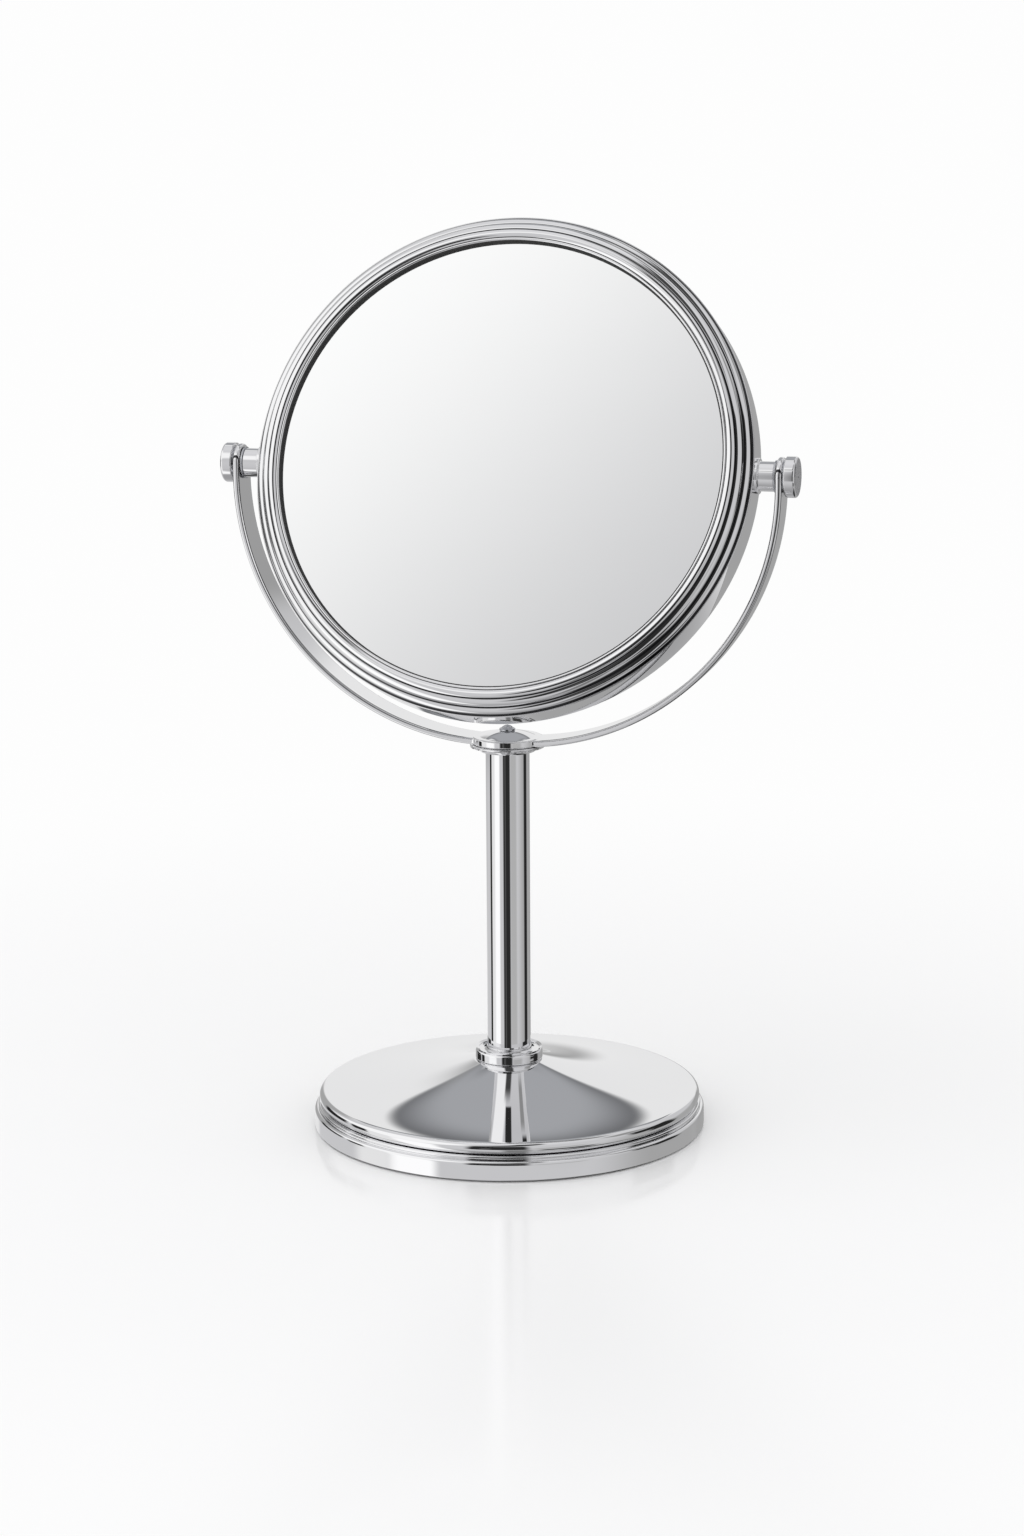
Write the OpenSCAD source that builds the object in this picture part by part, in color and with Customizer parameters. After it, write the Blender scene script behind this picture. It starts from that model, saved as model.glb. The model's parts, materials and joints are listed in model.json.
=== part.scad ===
// Extendable pedestal shaving mirror with a double-sided round head in a C-shaped yoke.
// Millimetres. +Z is up, -Y is the front, the pivot axis runs along X.
// The origin is on the table, on the column's axis.

/* [Head] */
// Diameter of mirror that shows inside the bezel
view_d = 152; // [140:1:164]
// Front-to-back depth of the head over its two bezels
head_depth = 24; // [23:0.5:27]
// Depth of the flat band round the head
band_depth = 12.8; // [11.5:0.1:13]
// Backward lean of the head when the mirror stands ready for use
rest_tilt = 20.5; // [0:0.5:30]
// Radius of curvature of the magnifying mirror on the back
magnifier_r = 750; // [650:10:1200]

/* [Yoke] */
// Gap between the head's band and the inside of the yoke
yoke_gap = 7; // [5.8:0.1:8]
// Width of the yoke's strap, and diameter of its eyes
strap_w = 13; // [12:0.5:14]
// Thickness of the yoke's strap
strap_t = 2.2; // [1.8:0.1:2.4]
// Half the length of the straight run between the yoke's two round corners
yoke_corner = 4.6; // [3:0.1:7]
// Length of the yoke's straight legs below the pivots
yoke_leg = 3.4; // [2:0.1:6]
// Diameter of the round knobs
knob_d = 13.6; // [12:0.1:15]
// Length of the round knobs
knob_len = 4; // [4:0.1:8]

/* [Column] */
// Outside diameter of the fixed column tube
column_d = 15; // [14.6:0.1:16]
// Length of the fixed column tube
column_len = 103.8; // [95:0.1:140]
// Outside diameter of the sliding inner tube
slider_d = 11; // [10.8:0.1:11.2]

/* [Base] */
// Diameter of the base at its foot band
base_d = 135; // [133:1:150]
// Diameter of the collar at the foot of the column
collar_d = 23.2; // [22.8:0.1:25]

/* [Hidden] */
$fn = 96;
eps = 0.01;

// Finishes
chrome_c = "silver";
steel_c = "lightsteelblue";
mirror_c = "aliceblue";
iron_c = "dimgray";
brass_c = "goldenrod";
nylon_c = "whitesmoke";
rubber_c = "#262626";
board_c = "peru";
foam_c = "#505058";

// Head, measured from its middle plane along its axis, which local +Z follows
lip_r = view_d / 2;
sheet_t = 0.8;
half_depth = head_depth / 2;
half_band = band_depth / 2;
// Each bezel tier is [radius of its centre, height of its centre, radius of its round]
tiers = [
    [lip_r + 1.75, half_depth - 2.4, 2.4],
    [lip_r + 4.0, half_depth - 3.45, 2.5],
    [lip_r + 6.55, half_depth - 5.6, 2.25]];
head_r = lip_r + 9.4;
band_t = 1;
glass_r = lip_r + 2.6;
glass_face = half_depth - 2.6;
glass_t = 2.5;
gasket_t = 0.4;
board_t = 1.2;
magnifier_t = 2.2;
magnifier_edge = glass_r * glass_r / (2 * magnifier_r);
foam_in = 50;
foam_out = lip_r - 1;

// Pivots, measured along X from the middle of the head
yoke_in = head_r + yoke_gap;
yoke_out = yoke_in + strap_t;
washer_t = 0.5;
bush_stand = 0.3;
sleeve_end = yoke_in - bush_stand - washer_t;
knob_edge = 1;
washer_r = 5.4;
sleeve_r = 4.95;
sleeve_foot_r = 6;
sleeve_foot_t = 1;
pin_r = 2;
thread_clear = 0.05;
pin_clear = 0.06;
eye_bore_r = 4;
boss_in = head_r - 7.4;
boss_step = head_r - 2.4;
boss_r = 5;
boss_neck_r = 3.4;
knob_in = yoke_out + washer_t;
knob_out = knob_in + knob_len;

// Base heights
band_low = 0.6;
band_top = 7.1;
bead_small = [base_d / 2 - 1.8, 8.0, 0.6];
bead_large = [base_d / 2 - 3.8, 10.75, 2.15];
shell_t = 1;
neck_r = collar_d / 2 - 0.2;
neck_top = 23;
// The flare is one arc from the bead, where its slope is flare_slope, up to the neck
flare_slope = 2.5;
flare_run = bead_large[0] - neck_r;
flare_rise = neck_top - bead_large[1] - bead_large[2];
flare_r = (flare_run * flare_run + flare_rise * flare_rise)
    / (2 * (flare_rise * cos(flare_slope) - flare_run * sin(flare_slope)));
flare_centre = [bead_large[0] + flare_r * sin(flare_slope),
    bead_large[1] + bead_large[2] + flare_r * cos(flare_slope)];
collar_top = neck_top + 3.4;
foot_flange_t = 1.2;
pad_t = 1.6;
cover_t = 1.4;
cover_top = pad_t + cover_t;
cover_screw_ring = 30;
weight_r = base_d / 2 - 5.5;
weight_top = 9;
bolt_r = 3;
bolt_head_t = 4;
bolt_head_low = cover_top + 0.4;
bolt_washer_t = 1;
bolt_seat = bolt_head_low + bolt_head_t + bolt_washer_t;

// Column heights
tube_low = collar_top + foot_flange_t;
tube_top = tube_low + column_len;
tube_wall = 0.8;
tube_bore = column_d / 2 - tube_wall;
slider_r = slider_d / 2;
slider_bore = slider_r - tube_wall;
stop_gap = 0.2;
dish_low = tube_top + stop_gap;
dish_t = 2.4;
yoke_low = dish_low + dish_t;
dish_r = 12.8;
pad_r = 12;
pad_top = yoke_low + strap_t + 0.4;
dome_r = 9.5;
dome_h = 2;
corner_h = yoke_low + yoke_out - yoke_corner;
pivot_h = corner_h + yoke_leg;
slider_low = 36;
guide_clear = 0.08;
guide_len = 9.8;
guide_low = slider_low + 0.1;
clip_low = guide_low + guide_len + 0.1;
clip_t = 1;
bush_len = 12;
insert_top = dish_low - 4;

// ---------- general shapes ----------

// A rectangle with four round corners, in the plane of the section
module soft_box(x0, y0, x1, y1, r) {
    translate([x0 + r, y0]) square([x1 - x0 - 2 * r, y1 - y0]);
    translate([x0, y0 + r]) square([x1 - x0, y1 - y0 - 2 * r]);
    for (x = [x0 + r, x1 - r], y = [y0 + r, y1 - r]) translate([x, y]) circle(r = r);
}

// A turned ring with rounded edges
module soft_ring(r_in, r_out, low, high, r) {
    rotate_extrude() soft_box(r_in, low, r_out, high, r);
}

// A plain turned ring
module ring(r_in, r_out, low, high) {
    difference() {
        translate([0, 0, low]) cylinder(r = r_out, h = high - low);
        translate([0, 0, low - 1]) cylinder(r = r_in, h = high - low + 2);
    }
}

// A ring with a gap in it, as a spring or a clip has
module open_ring(r_in, r_out, low, high, gap) {
    rotate([0, 0, 90 + gap / 2]) rotate_extrude(angle = 360 - gap)
        translate([r_in, low]) square([r_out - r_in, high - low]);
}

// Puts a part drawn along local +Z on the pivot axis: side 1 is right, side -1 is left
module on_pivot(side) {
    translate([0, 0, pivot_h]) rotate([0, side * 90, 0]) children();
}

// Puts the head in its leaning rest pose: local +Z becomes the way the plain mirror faces
module head_pose() {
    translate([0, 0, pivot_h]) rotate([90 - rest_tilt, 0, 0]) children();
}

// ---------- base ----------

// Section of the base's outside, from the foot band up to the neck
module base_outline() {
    half = base_d / 2;
    shoulder = 1.2;
    translate([0, band_low]) square([half, band_top - shoulder - band_low]);
    translate([0, band_low]) square([half - shoulder, band_top - band_low]);
    translate([half - shoulder, band_top - shoulder]) circle(r = shoulder);
    translate([0, band_top - eps])
        square([bead_small[0], bead_small[1] + bead_small[2] - band_top + eps]);
    translate([bead_small[0], bead_small[1]]) circle(r = bead_small[2]);
    translate([0, bead_large[1] - bead_large[2]]) square([bead_large[0], 2 * bead_large[2]]);
    translate([bead_large[0], bead_large[1]]) circle(r = bead_large[2]);
    difference() {
        translate([0, bead_large[1]]) square([bead_large[0], neck_top - bead_large[1]]);
        translate(flare_centre) circle(r = flare_r, $fn = 720);
    }
}

// Section of the space inside the base's sheet metal
module base_cavity() {
    translate([0, -1]) square([base_d / 2 - shell_t, band_top - shell_t + 1]);
    difference() {
        translate([0, -1]) square([bead_large[0] - shell_t, neck_top - shell_t + 1]);
        translate(flare_centre) circle(r = flare_r + shell_t, $fn = 720);
    }
}

module base_shell() {
    color(chrome_c) rotate_extrude() difference() {
        base_outline();
        base_cavity();
        square([bolt_r + 0.2, 2 * neck_top]);
    }
}

module base_weight() {
    color(iron_c) difference() {
        union() {
            translate([0, 0, cover_top]) cylinder(r = weight_r, h = weight_top - cover_top);
            translate([0, 0, weight_top]) cylinder(r1 = 40, r2 = 14, h = 5);
            translate([0, 0, weight_top]) cylinder(r = 9, h = neck_top - shell_t - weight_top);
        }
        translate([0, 0, -1]) cylinder(r = bolt_r + 0.3, h = 2 * neck_top);
        translate([0, 0, cover_top - 1]) cylinder(r = 8.5, h = bolt_seat - cover_top + 1);
        for (i = [0:2]) rotate([0, 0, 120 * i + 30])
            translate([cover_screw_ring, 0, cover_top - 1]) cylinder(r = 1.55, h = 5.4);
    }
}

module base_cover() {
    color(rubber_c) difference() {
        translate([0, 0, pad_t]) cylinder(r = base_d / 2 - 1.3, h = cover_t);
        translate([0, 0, 0]) cylinder(r = 8.5, h = 10);
        for (i = [0:2]) rotate([0, 0, 120 * i + 30]) translate([cover_screw_ring, 0, 0])
            cylinder(r = 1.7, h = 10);
    }
}

module cover_screws() {
    color(steel_c) for (i = [0:2]) rotate([0, 0, 120 * i + 30])
        translate([cover_screw_ring, 0, 0]) {
            translate([0, 0, pad_t - 0.01]) cylinder(r = 1.5, h = 5);
            difference() {
                rotate_extrude() intersection() {
                    translate([0, pad_t - 1.2]) square([2.8, 1.2]);
                    translate([0, pad_t + 2.4]) circle(r = 3.9);
                }
                for (a = [0, 90]) rotate([0, 0, a]) translate([-1.5, -0.3, pad_t - 2])
                    cube([3, 0.6, 1.2]);
            }
        }
}

module foot_pad() {
    color(rubber_c) soft_ring(46, 62, 0, pad_t, 0.4);
}

module base_collar() {
    color(chrome_c) rotate_extrude() difference() {
        union() {
            soft_box(collar_d / 2 - 6, neck_top, collar_d / 2, collar_top + 0.3, 1.2);
            translate([bolt_r + 0.2, neck_top])
                square([collar_d / 2 - bolt_r - 3, collar_top - neck_top]);
        }
        translate([(column_d + collar_d) / 4 - 0.1, collar_top + 2.35]) circle(r = 2.5);
        translate([0, collar_top]) square([column_d / 2 + 0.6, 2]);
    }
}

module tie_bolt() {
    color(steel_c) {
        translate([0, 0, bolt_head_low]) cylinder(r = 5.6, h = bolt_head_t, $fn = 6);
        translate([0, 0, bolt_head_low + bolt_head_t - eps])
            cylinder(r = bolt_r, h = tube_low + 5 - bolt_head_low - bolt_head_t);
    }
}

module tie_washer() {
    low = bolt_head_low + bolt_head_t;
    color(steel_c) open_ring(bolt_r + 0.2, 7, low, low + bolt_washer_t, 12);
}

// ---------- column ----------

module column_foot() {
    color(chrome_c) difference() {
        union() {
            soft_ring(bolt_r, column_d / 2 + 0.3, collar_top, tube_low, 0.35);
            ring(bolt_r, tube_bore, tube_low - eps, tube_low + 5.8);
        }
        translate([0, 0, collar_top - 1]) cylinder(r = bolt_r + thread_clear, h = 10);
    }
}

module outer_tube() {
    color(chrome_c) rotate_extrude() difference() {
        soft_box(tube_bore, tube_low, column_d / 2, tube_top, 0.25);
        translate([0, tube_low]) square([tube_bore, 0.1]);
    }
}

module tube_guide_bush() {
    color(nylon_c) ring(slider_r + pin_clear, tube_bore, tube_top - bush_len, tube_top - 0.3);
}

module guide_ring() {
    color(nylon_c) difference() {
        ring(slider_r + pin_clear, tube_bore - guide_clear, guide_low, guide_low + guide_len);
        ring(slider_r + 0.55, tube_bore + 1, guide_low + 2.9, guide_low + 6.9);
    }
}

module friction_spring() {
    color(steel_c) open_ring(slider_r + 0.56, tube_bore - 0.05, guide_low + 2.95, guide_low + 6.85, 30);
}

module inner_tube() {
    color(chrome_c) difference() {
        ring(slider_bore, slider_r, slider_low, dish_low);
        ring(slider_r - 0.35, slider_r + 1, clip_low, clip_low + clip_t);
    }
}

module slider_end_plug() {
    color(nylon_c) {
        soft_ring(2, tube_bore - 0.5, slider_low - 2, slider_low, 0.4);
        ring(2, slider_bore, slider_low - eps, slider_low + 8);
    }
}

module retaining_clip() {
    color(steel_c) open_ring(slider_r - 0.35, tube_bore - 0.4, clip_low, clip_low + clip_t, 60);
}

module top_insert() {
    color(brass_c) ring(pin_r + thread_clear, slider_bore, insert_top - 14, insert_top);
}

// ---------- yoke ----------

// The shallow dish between the column and the yoke, with a spigot in the inner tube
module saddle_dish() {
    color(chrome_c) rotate_extrude() difference() {
        union() {
            soft_box(dish_r - 6, yoke_low - 0.9, dish_r, yoke_low, 0.4);
            difference() {
                translate([0, dish_low]) square([dish_r - 0.4, dish_t]);
                translate([dish_r + 0.5, yoke_low - 0.9 - 5.6]) circle(r = 5.6);
                translate([column_d / 2 + 0.1, dish_low - 1]) square([10, 1.2]);
            }
            translate([0, insert_top]) square([slider_bore, dish_low - insert_top + eps]);
        }
        translate([0, insert_top - 1]) square([pin_r + 0.1, 10]);
    }
}

// Section of the strap
module strap_section() {
    soft_box(yoke_in, -strap_w / 2, yoke_out, strap_w / 2, 0.8);
}

module yoke() {
    color(chrome_c) difference() {
        union() {
            for (side = [0, 1]) mirror([side, 0, 0]) {
                translate([yoke_corner, 0, corner_h]) rotate([90, 0, 0]) rotate([0, 0, 270])
                    rotate_extrude(angle = 90, $fn = 180) translate([-yoke_corner, 0]) strap_section();
                translate([0, 0, corner_h]) linear_extrude(yoke_leg) strap_section();
            }
            translate([-yoke_corner, 0, corner_h]) rotate([0, 90, 0])
                linear_extrude(2 * yoke_corner) translate([-yoke_corner, 0]) strap_section();
            for (side = [-1, 1]) on_pivot(side)
                soft_ring(eye_bore_r - 1, strap_w / 2, yoke_in, yoke_out, 0.5);
            soft_ring(pin_r, pad_r, yoke_low, pad_top, 0.6);
        }
        for (side = [-1, 1]) on_pivot(side)
            translate([0, 0, yoke_in - 1]) cylinder(r = eye_bore_r, h = strap_t + 2);
        translate([0, 0, yoke_low - 1]) cylinder(r = pin_r + 0.1, h = 10);
        translate([0, 0, pad_top]) cylinder(r = pad_r, h = 6);
    }
}

module clamp_dome() {
    ball_r = (dome_r * dome_r + dome_h * dome_h) / (2 * dome_h);
    color(chrome_c) rotate_extrude() difference() {
        intersection() {
            translate([0, pad_top]) square([dome_r, dome_h]);
            translate([0, pad_top + dome_h - ball_r]) circle(r = ball_r, $fn = 360);
        }
        translate([0, pad_top - 1]) square([pin_r + 0.1, 10]);
        translate([0, pad_top + dome_h - 0.2]) square([3, 3]);
    }
}

module yoke_screw() {
    head_low = pad_top + dome_h - 0.2;
    color(steel_c) difference() {
        union() {
            translate([0, 0, insert_top - 10]) cylinder(r = pin_r, h = head_low - insert_top + 10 + eps);
            rotate_extrude() {
                intersection() {
                    soft_box(-2.7, head_low, 2.7, head_low + 0.9, 0.3);
                    translate([0, head_low]) square([3, 2]);
                }
                intersection() {
                    translate([0, head_low + 0.5]) square([1.9, 1.5]);
                    translate([0, head_low - 0.5]) circle(r = 2.5);
                }
            }
        }
        translate([-3, -0.35, head_low + 1.3]) cube([6, 0.7, 2]);
    }
}

// The bush stands a little proud inside, where the strap's curve would touch the washer
module eye_bush(side) {
    color(nylon_c) on_pivot(side) ring(pin_r + pin_clear, eye_bore_r, yoke_in - bush_stand, yoke_out);
}

module outer_washer(side) {
    color(steel_c) on_pivot(side) ring(pin_r + 0.1, washer_r, yoke_out, knob_in);
}

// ---------- head ----------

module rim_band() {
    color(chrome_c) head_pose() difference() {
        rotate_extrude($fn = 240) soft_box(head_r - band_t, -half_band, head_r, half_band, 0.3);
        for (side = [-1, 1]) rotate([0, side * 90, 0])
            translate([0, 0, head_r - 3]) cylinder(r = pin_r + 0.1, h = 6);
    }
}

// Section of the bezel's three round tiers, drawn in by t
module tier_section(t) {
    for (tier = tiers) {
        translate([tier[0], tier[1]]) circle(r = tier[2] - t);
        translate([tier[0] - tier[2] + t, 0]) square([2 * (tier[2] - t), tier[1]]);
    }
}

module bezel() {
    skirt_in = head_r - band_t - sheet_t;
    rotate_extrude($fn = 240) difference() {
        union() {
            intersection() {
                tier_section(0);
                translate([lip_r, half_band]) square([20, 20]);
            }
            translate([skirt_in, half_band - 1.2]) square([sheet_t, 1.2 + eps]);
        }
        intersection() {
            tier_section(sheet_t);
            translate([lip_r + sheet_t, 0]) square([20, 20]);
        }
        translate([skirt_in - 20, 0]) square([20, half_band + 1]);
        translate([lip_r - 1, 0]) square([sheet_t + 1 + eps, glass_face + gasket_t]);
    }
}

module front_bezel() { color(chrome_c) head_pose() bezel(); }

module rear_bezel() { color(chrome_c) head_pose() mirror([0, 0, 1]) bezel(); }

module gasket() {
    ring(lip_r + 0.05, glass_r - 0.2, glass_face, glass_face + gasket_t);
}

module front_gasket() { color(rubber_c) head_pose() gasket(); }

module rear_gasket() { color(rubber_c) head_pose() mirror([0, 0, 1]) gasket(); }

module plain_mirror() {
    color(mirror_c) head_pose() translate([0, 0, glass_face - glass_t])
        cylinder(r = glass_r, h = glass_t, $fn = 240);
}

// Section of a bent disc of glass whose hollow side is local +Z
module bent_glass_section(face_z) {
    centre_z = face_z - magnifier_edge + magnifier_r;
    difference() {
        intersection() {
            translate([0, face_z - magnifier_edge - magnifier_t - 1])
                square([glass_r, magnifier_edge + magnifier_t + 1]);
            translate([0, centre_z]) circle(r = magnifier_r + magnifier_t, $fn = 1440);
        }
        translate([0, centre_z]) circle(r = magnifier_r, $fn = 1440);
    }
}

module magnifying_mirror() {
    color(mirror_c) head_pose() mirror([0, 0, 1])
        rotate_extrude($fn = 240) bent_glass_section(glass_face);
}

module backing_board() {
    top = glass_face - glass_t;
    color(board_c) head_pose() translate([0, 0, top - board_t])
        cylinder(r = lip_r + 1, h = board_t);
}

// The foam ring that presses both glasses against their bezels
module foam_spacer() {
    top = glass_face - glass_t - board_t;
    centre_z = glass_face - magnifier_edge + magnifier_r;
    color(foam_c) head_pose() mirror([0, 0, 1]) rotate_extrude() difference() {
        translate([foam_in, -top]) square([foam_out - foam_in, top + glass_face]);
        translate([0, centre_z]) circle(r = magnifier_r + magnifier_t + 0.05, $fn = 1440);
    }
}

// A threaded boss riveted to the inside of the band
module pivot_boss(side) {
    color(brass_c) head_pose() intersection() {
        rotate([0, side * 90, 0]) difference() {
            union() {
                translate([0, 0, boss_in]) cylinder(r = boss_r, h = boss_step - boss_in);
                translate([0, 0, boss_in]) cylinder(r = boss_neck_r, h = 10);
            }
            translate([0, 0, boss_in - 1]) cylinder(r = pin_r + thread_clear, h = 20);
        }
        cylinder(r = head_r - band_t, h = 40, center = true);
    }
}

// The sleeve that holds the yoke off the band, with a foot shaped to the band
module spacer_sleeve(side) {
    color(chrome_c) head_pose() difference() {
        rotate([0, side * 90, 0]) difference() {
            union() {
                soft_ring(1, sleeve_r, head_r - 1.5, sleeve_end, 0.3);
                soft_ring(1, sleeve_foot_r, head_r - 1.5, head_r + sleeve_foot_t, 0.35);
            }
            translate([0, 0, head_r - 3]) cylinder(r = pin_r + 0.1, h = 12);
        }
        cylinder(r = head_r, h = 40, center = true);
    }
}

module inner_washer(side) {
    color(steel_c) on_pivot(side) ring(pin_r + 0.1, washer_r, sleeve_end, sleeve_end + washer_t);
}

module knob(side) {
    color(chrome_c) on_pivot(side) difference() {
        rotate_extrude() intersection() {
            soft_box(-knob_d / 2, knob_in, knob_d / 2, knob_out, knob_edge);
            translate([0, knob_in]) square([knob_d, knob_len]);
        }
        translate([0, 0, knob_in - 1]) cylinder(r = pin_r, h = knob_len - 0.8);
        translate([0, 0, knob_out - 0.4]) cylinder(r1 = 0.15, r2 = 0.6, h = 0.41);
    }
}

module pivot_screw(side) {
    color(steel_c) on_pivot(side) translate([0, 0, boss_in + 0.6])
        cylinder(r = pin_r, h = knob_out - 1.8 - boss_in - 0.6);
}

base_shell();
base_weight();
base_cover();
cover_screws();
foot_pad();
base_collar();
tie_bolt();
tie_washer();
column_foot();
outer_tube();
tube_guide_bush();
guide_ring();
friction_spring();
inner_tube();
slider_end_plug();
retaining_clip();
top_insert();
saddle_dish();
yoke();
clamp_dome();
yoke_screw();
eye_bush(-1);  // left_eye_bush
eye_bush(1);  // right_eye_bush
outer_washer(-1);  // left_outer_washer
outer_washer(1);  // right_outer_washer
rim_band();
front_bezel();
rear_bezel();
front_gasket();
rear_gasket();
plain_mirror();
magnifying_mirror();
backing_board();
foam_spacer();
pivot_boss(-1);  // left_pivot_boss
pivot_boss(1);  // right_pivot_boss
spacer_sleeve(-1);  // left_spacer_sleeve
spacer_sleeve(1);  // right_spacer_sleeve
inner_washer(-1);  // left_inner_washer
inner_washer(1);  // right_inner_washer
knob(-1);  // left_knob
pivot_screw(-1);  // left_pivot_screw
knob(1);  // right_knob
pivot_screw(1);  // right_pivot_screw
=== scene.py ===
"""Looks of an extendable pedestal shaving mirror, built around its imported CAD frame.

Lengths in the classes are millimetres, measured in the frame's own axes; meshes are in metres.
"""

import json
import logging
import math
from dataclasses import dataclass
from enum import Enum
from typing import Sequence, Union

import bmesh
import bpy
from mathutils import Euler, Matrix, Vector

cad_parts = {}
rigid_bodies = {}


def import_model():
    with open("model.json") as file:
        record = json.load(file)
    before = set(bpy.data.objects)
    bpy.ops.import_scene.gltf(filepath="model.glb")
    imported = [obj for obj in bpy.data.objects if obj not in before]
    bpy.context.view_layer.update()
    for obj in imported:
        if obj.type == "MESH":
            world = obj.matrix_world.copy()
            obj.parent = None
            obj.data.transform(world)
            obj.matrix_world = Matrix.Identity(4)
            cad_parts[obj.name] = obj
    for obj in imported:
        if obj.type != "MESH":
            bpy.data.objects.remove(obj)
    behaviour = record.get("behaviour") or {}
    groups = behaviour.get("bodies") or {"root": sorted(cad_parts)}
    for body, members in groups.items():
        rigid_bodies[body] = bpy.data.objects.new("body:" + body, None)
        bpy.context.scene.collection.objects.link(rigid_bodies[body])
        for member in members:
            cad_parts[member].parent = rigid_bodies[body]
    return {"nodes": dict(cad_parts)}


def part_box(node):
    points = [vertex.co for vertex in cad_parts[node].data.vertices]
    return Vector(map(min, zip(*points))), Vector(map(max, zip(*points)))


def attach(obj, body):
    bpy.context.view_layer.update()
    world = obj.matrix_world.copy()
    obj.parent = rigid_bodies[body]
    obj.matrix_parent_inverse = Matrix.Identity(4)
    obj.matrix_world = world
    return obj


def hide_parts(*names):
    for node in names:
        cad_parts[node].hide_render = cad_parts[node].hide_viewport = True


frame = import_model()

MM = 0.001
LOG = logging.getLogger("shaving_mirror")

PLAIN_WHITE = (0.985, 0.985, 0.985, 1.0)

Point = tuple[float, float]
Round = tuple[float, float, float]
Colour = tuple[float, float, float]
Socket = bpy.types.NodeSocket
Value = Union[float, Socket]


class Body(Enum):
    """The rigid bodies that pieces ride on."""

    BASE = "base"
    GUIDE = "slider_guide"
    STEM = "stem"
    HEAD = "head"
    LEFT_THUMBSCREW = "left_thumbscrew"
    RIGHT_THUMBSCREW = "right_thumbscrew"


class Slot(Enum):
    """The record's material slots."""

    CHROME = "chrome"
    KNOB = "knob_chrome"
    STEEL = "bright_steel"
    MIRROR = "mirror_glass"
    IRON = "iron"
    BRASS = "brass"
    NYLON = "nylon"
    RUBBER = "black_rubber"
    COVER = "cover_plastic"
    BOARD = "grey_board"
    FOAM = "foam"


class Side(Enum):
    """The two ends of the pivot axis, as the sign of X."""

    LEFT = -1
    RIGHT = 1

    @property
    def word(self) -> str:
        """The side's name as node names start with it."""
        return self.name.lower()

    @property
    def thumbscrew(self) -> Body:
        """The body of this side's thumbscrew."""
        return Body.LEFT_THUMBSCREW if self is Side.LEFT else Body.RIGHT_THUMBSCREW


# ---------------------------------------------------------------- nodes


class NodePen:
    """Adds and links nodes in one node tree."""

    def __init__(self, tree: bpy.types.NodeTree) -> None:
        """Keeps the shader, world or geometry tree that this pen writes in."""
        self.tree = tree

    def add(self, kind: str, inputs: dict | None = None, **settings) -> bpy.types.Node:
        """Adds one node.

        Args:
            kind: The node's type name.
            inputs: Socket name or number to a value, or to an output socket to link from.
            **settings: Properties set on the node before its sockets are read.

        Returns:
            The new node.
        """
        node = self.tree.nodes.new(kind)
        for key, value in settings.items():
            setattr(node, key, value)
        for key, value in (inputs or {}).items():
            self.feed(self.socket(node, key), value)
        return node

    def feed(self, socket: Socket, value: Value | tuple) -> None:
        """Links an output into an input socket, or sets the input to a plain value."""
        if isinstance(value, bpy.types.NodeSocket):
            self.tree.links.new(value, socket)
        else:
            socket.default_value = value

    @staticmethod
    def socket(node: bpy.types.Node, key: str | int) -> Socket:
        """Finds an input socket by number, or the first enabled one by name."""
        if isinstance(key, int):
            return node.inputs[key]
        return next(s for s in node.inputs if s.name == key and s.enabled)

    def math(self, operation: str, *values: Value) -> Socket:
        """Adds a Math node with these operands, and returns its result's socket."""
        return self.add("ShaderNodeMath", dict(enumerate(values)), operation=operation).outputs[0]

    def ramp(self, value: Value, low: float, high: float, to_low: float, to_high: float,
             smooth: bool = False) -> Socket:
        """Maps a value from one range to another, clamped.

        Args:
            value: The socket to map.
            low: Start of the range that is read.
            high: End of the range that is read.
            to_low: Result at low.
            to_high: Result at high.
            smooth: Whether the change eases in and out.

        Returns:
            The result's socket.
        """
        kind = "SMOOTHSTEP" if smooth else "LINEAR"
        node = self.add("ShaderNodeMapRange", {"Value": value, "From Min": low, "From Max": high,
                                               "To Min": to_low, "To Max": to_high},
                        interpolation_type=kind)
        return node.outputs["Result"]

    def noise(self, vector: Socket, scale: float, detail: float = 2.0, rough: float = 0.5) -> Socket:
        """Adds a noise texture of so many cells to the metre, and returns its factor's socket."""
        node = self.add("ShaderNodeTexNoise", {"Vector": vector, "Scale": scale, "Detail": detail,
                                               "Roughness": rough})
        return node.outputs["Fac"]

    def mix(self, factor: Value, first: Value | tuple, second: Value | tuple) -> Socket:
        """Mixes two colours by a factor and returns the colour's socket."""
        return self.add("ShaderNodeMix", {0: factor, 6: first, 7: second}, data_type="RGBA").outputs[2]

    def parts(self, vector: Socket) -> bpy.types.NodeOutputs:
        """Splits a vector, and returns sockets X, Y and Z."""
        return self.add("ShaderNodeSeparateXYZ", {"Vector": vector}).outputs

    def reach(self, first: Value, second: Value) -> Socket:
        """Distance from the origin of a point with these two coordinates."""
        squares = self.math("POWER", first, 2.0), self.math("POWER", second, 2.0)
        return self.math("SQRT", self.math("ADD", *squares))

    def stripe(self, value: Value, centre: float, full: float, fade: float) -> Socket:
        """One where a value is near a centre, fading to nothing.

        Args:
            value: The value, in metres.
            centre: The stripe's middle, in millimetres.
            full: How far from the middle it starts to fade, in millimetres.
            fade: How far from the middle it ends.

        Returns:
            The strength's socket.
        """
        off = self.math("ABSOLUTE", self.math("SUBTRACT", value, centre * MM))
        return self.ramp(off, full * MM, fade * MM, 1.0, 0.0, smooth=True)


def rgba(colour: Colour) -> tuple[float, float, float, float]:
    """Gives a colour an alpha of one."""
    return (*colour, 1.0)


# ---------------------------------------------------------------- finishes


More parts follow.
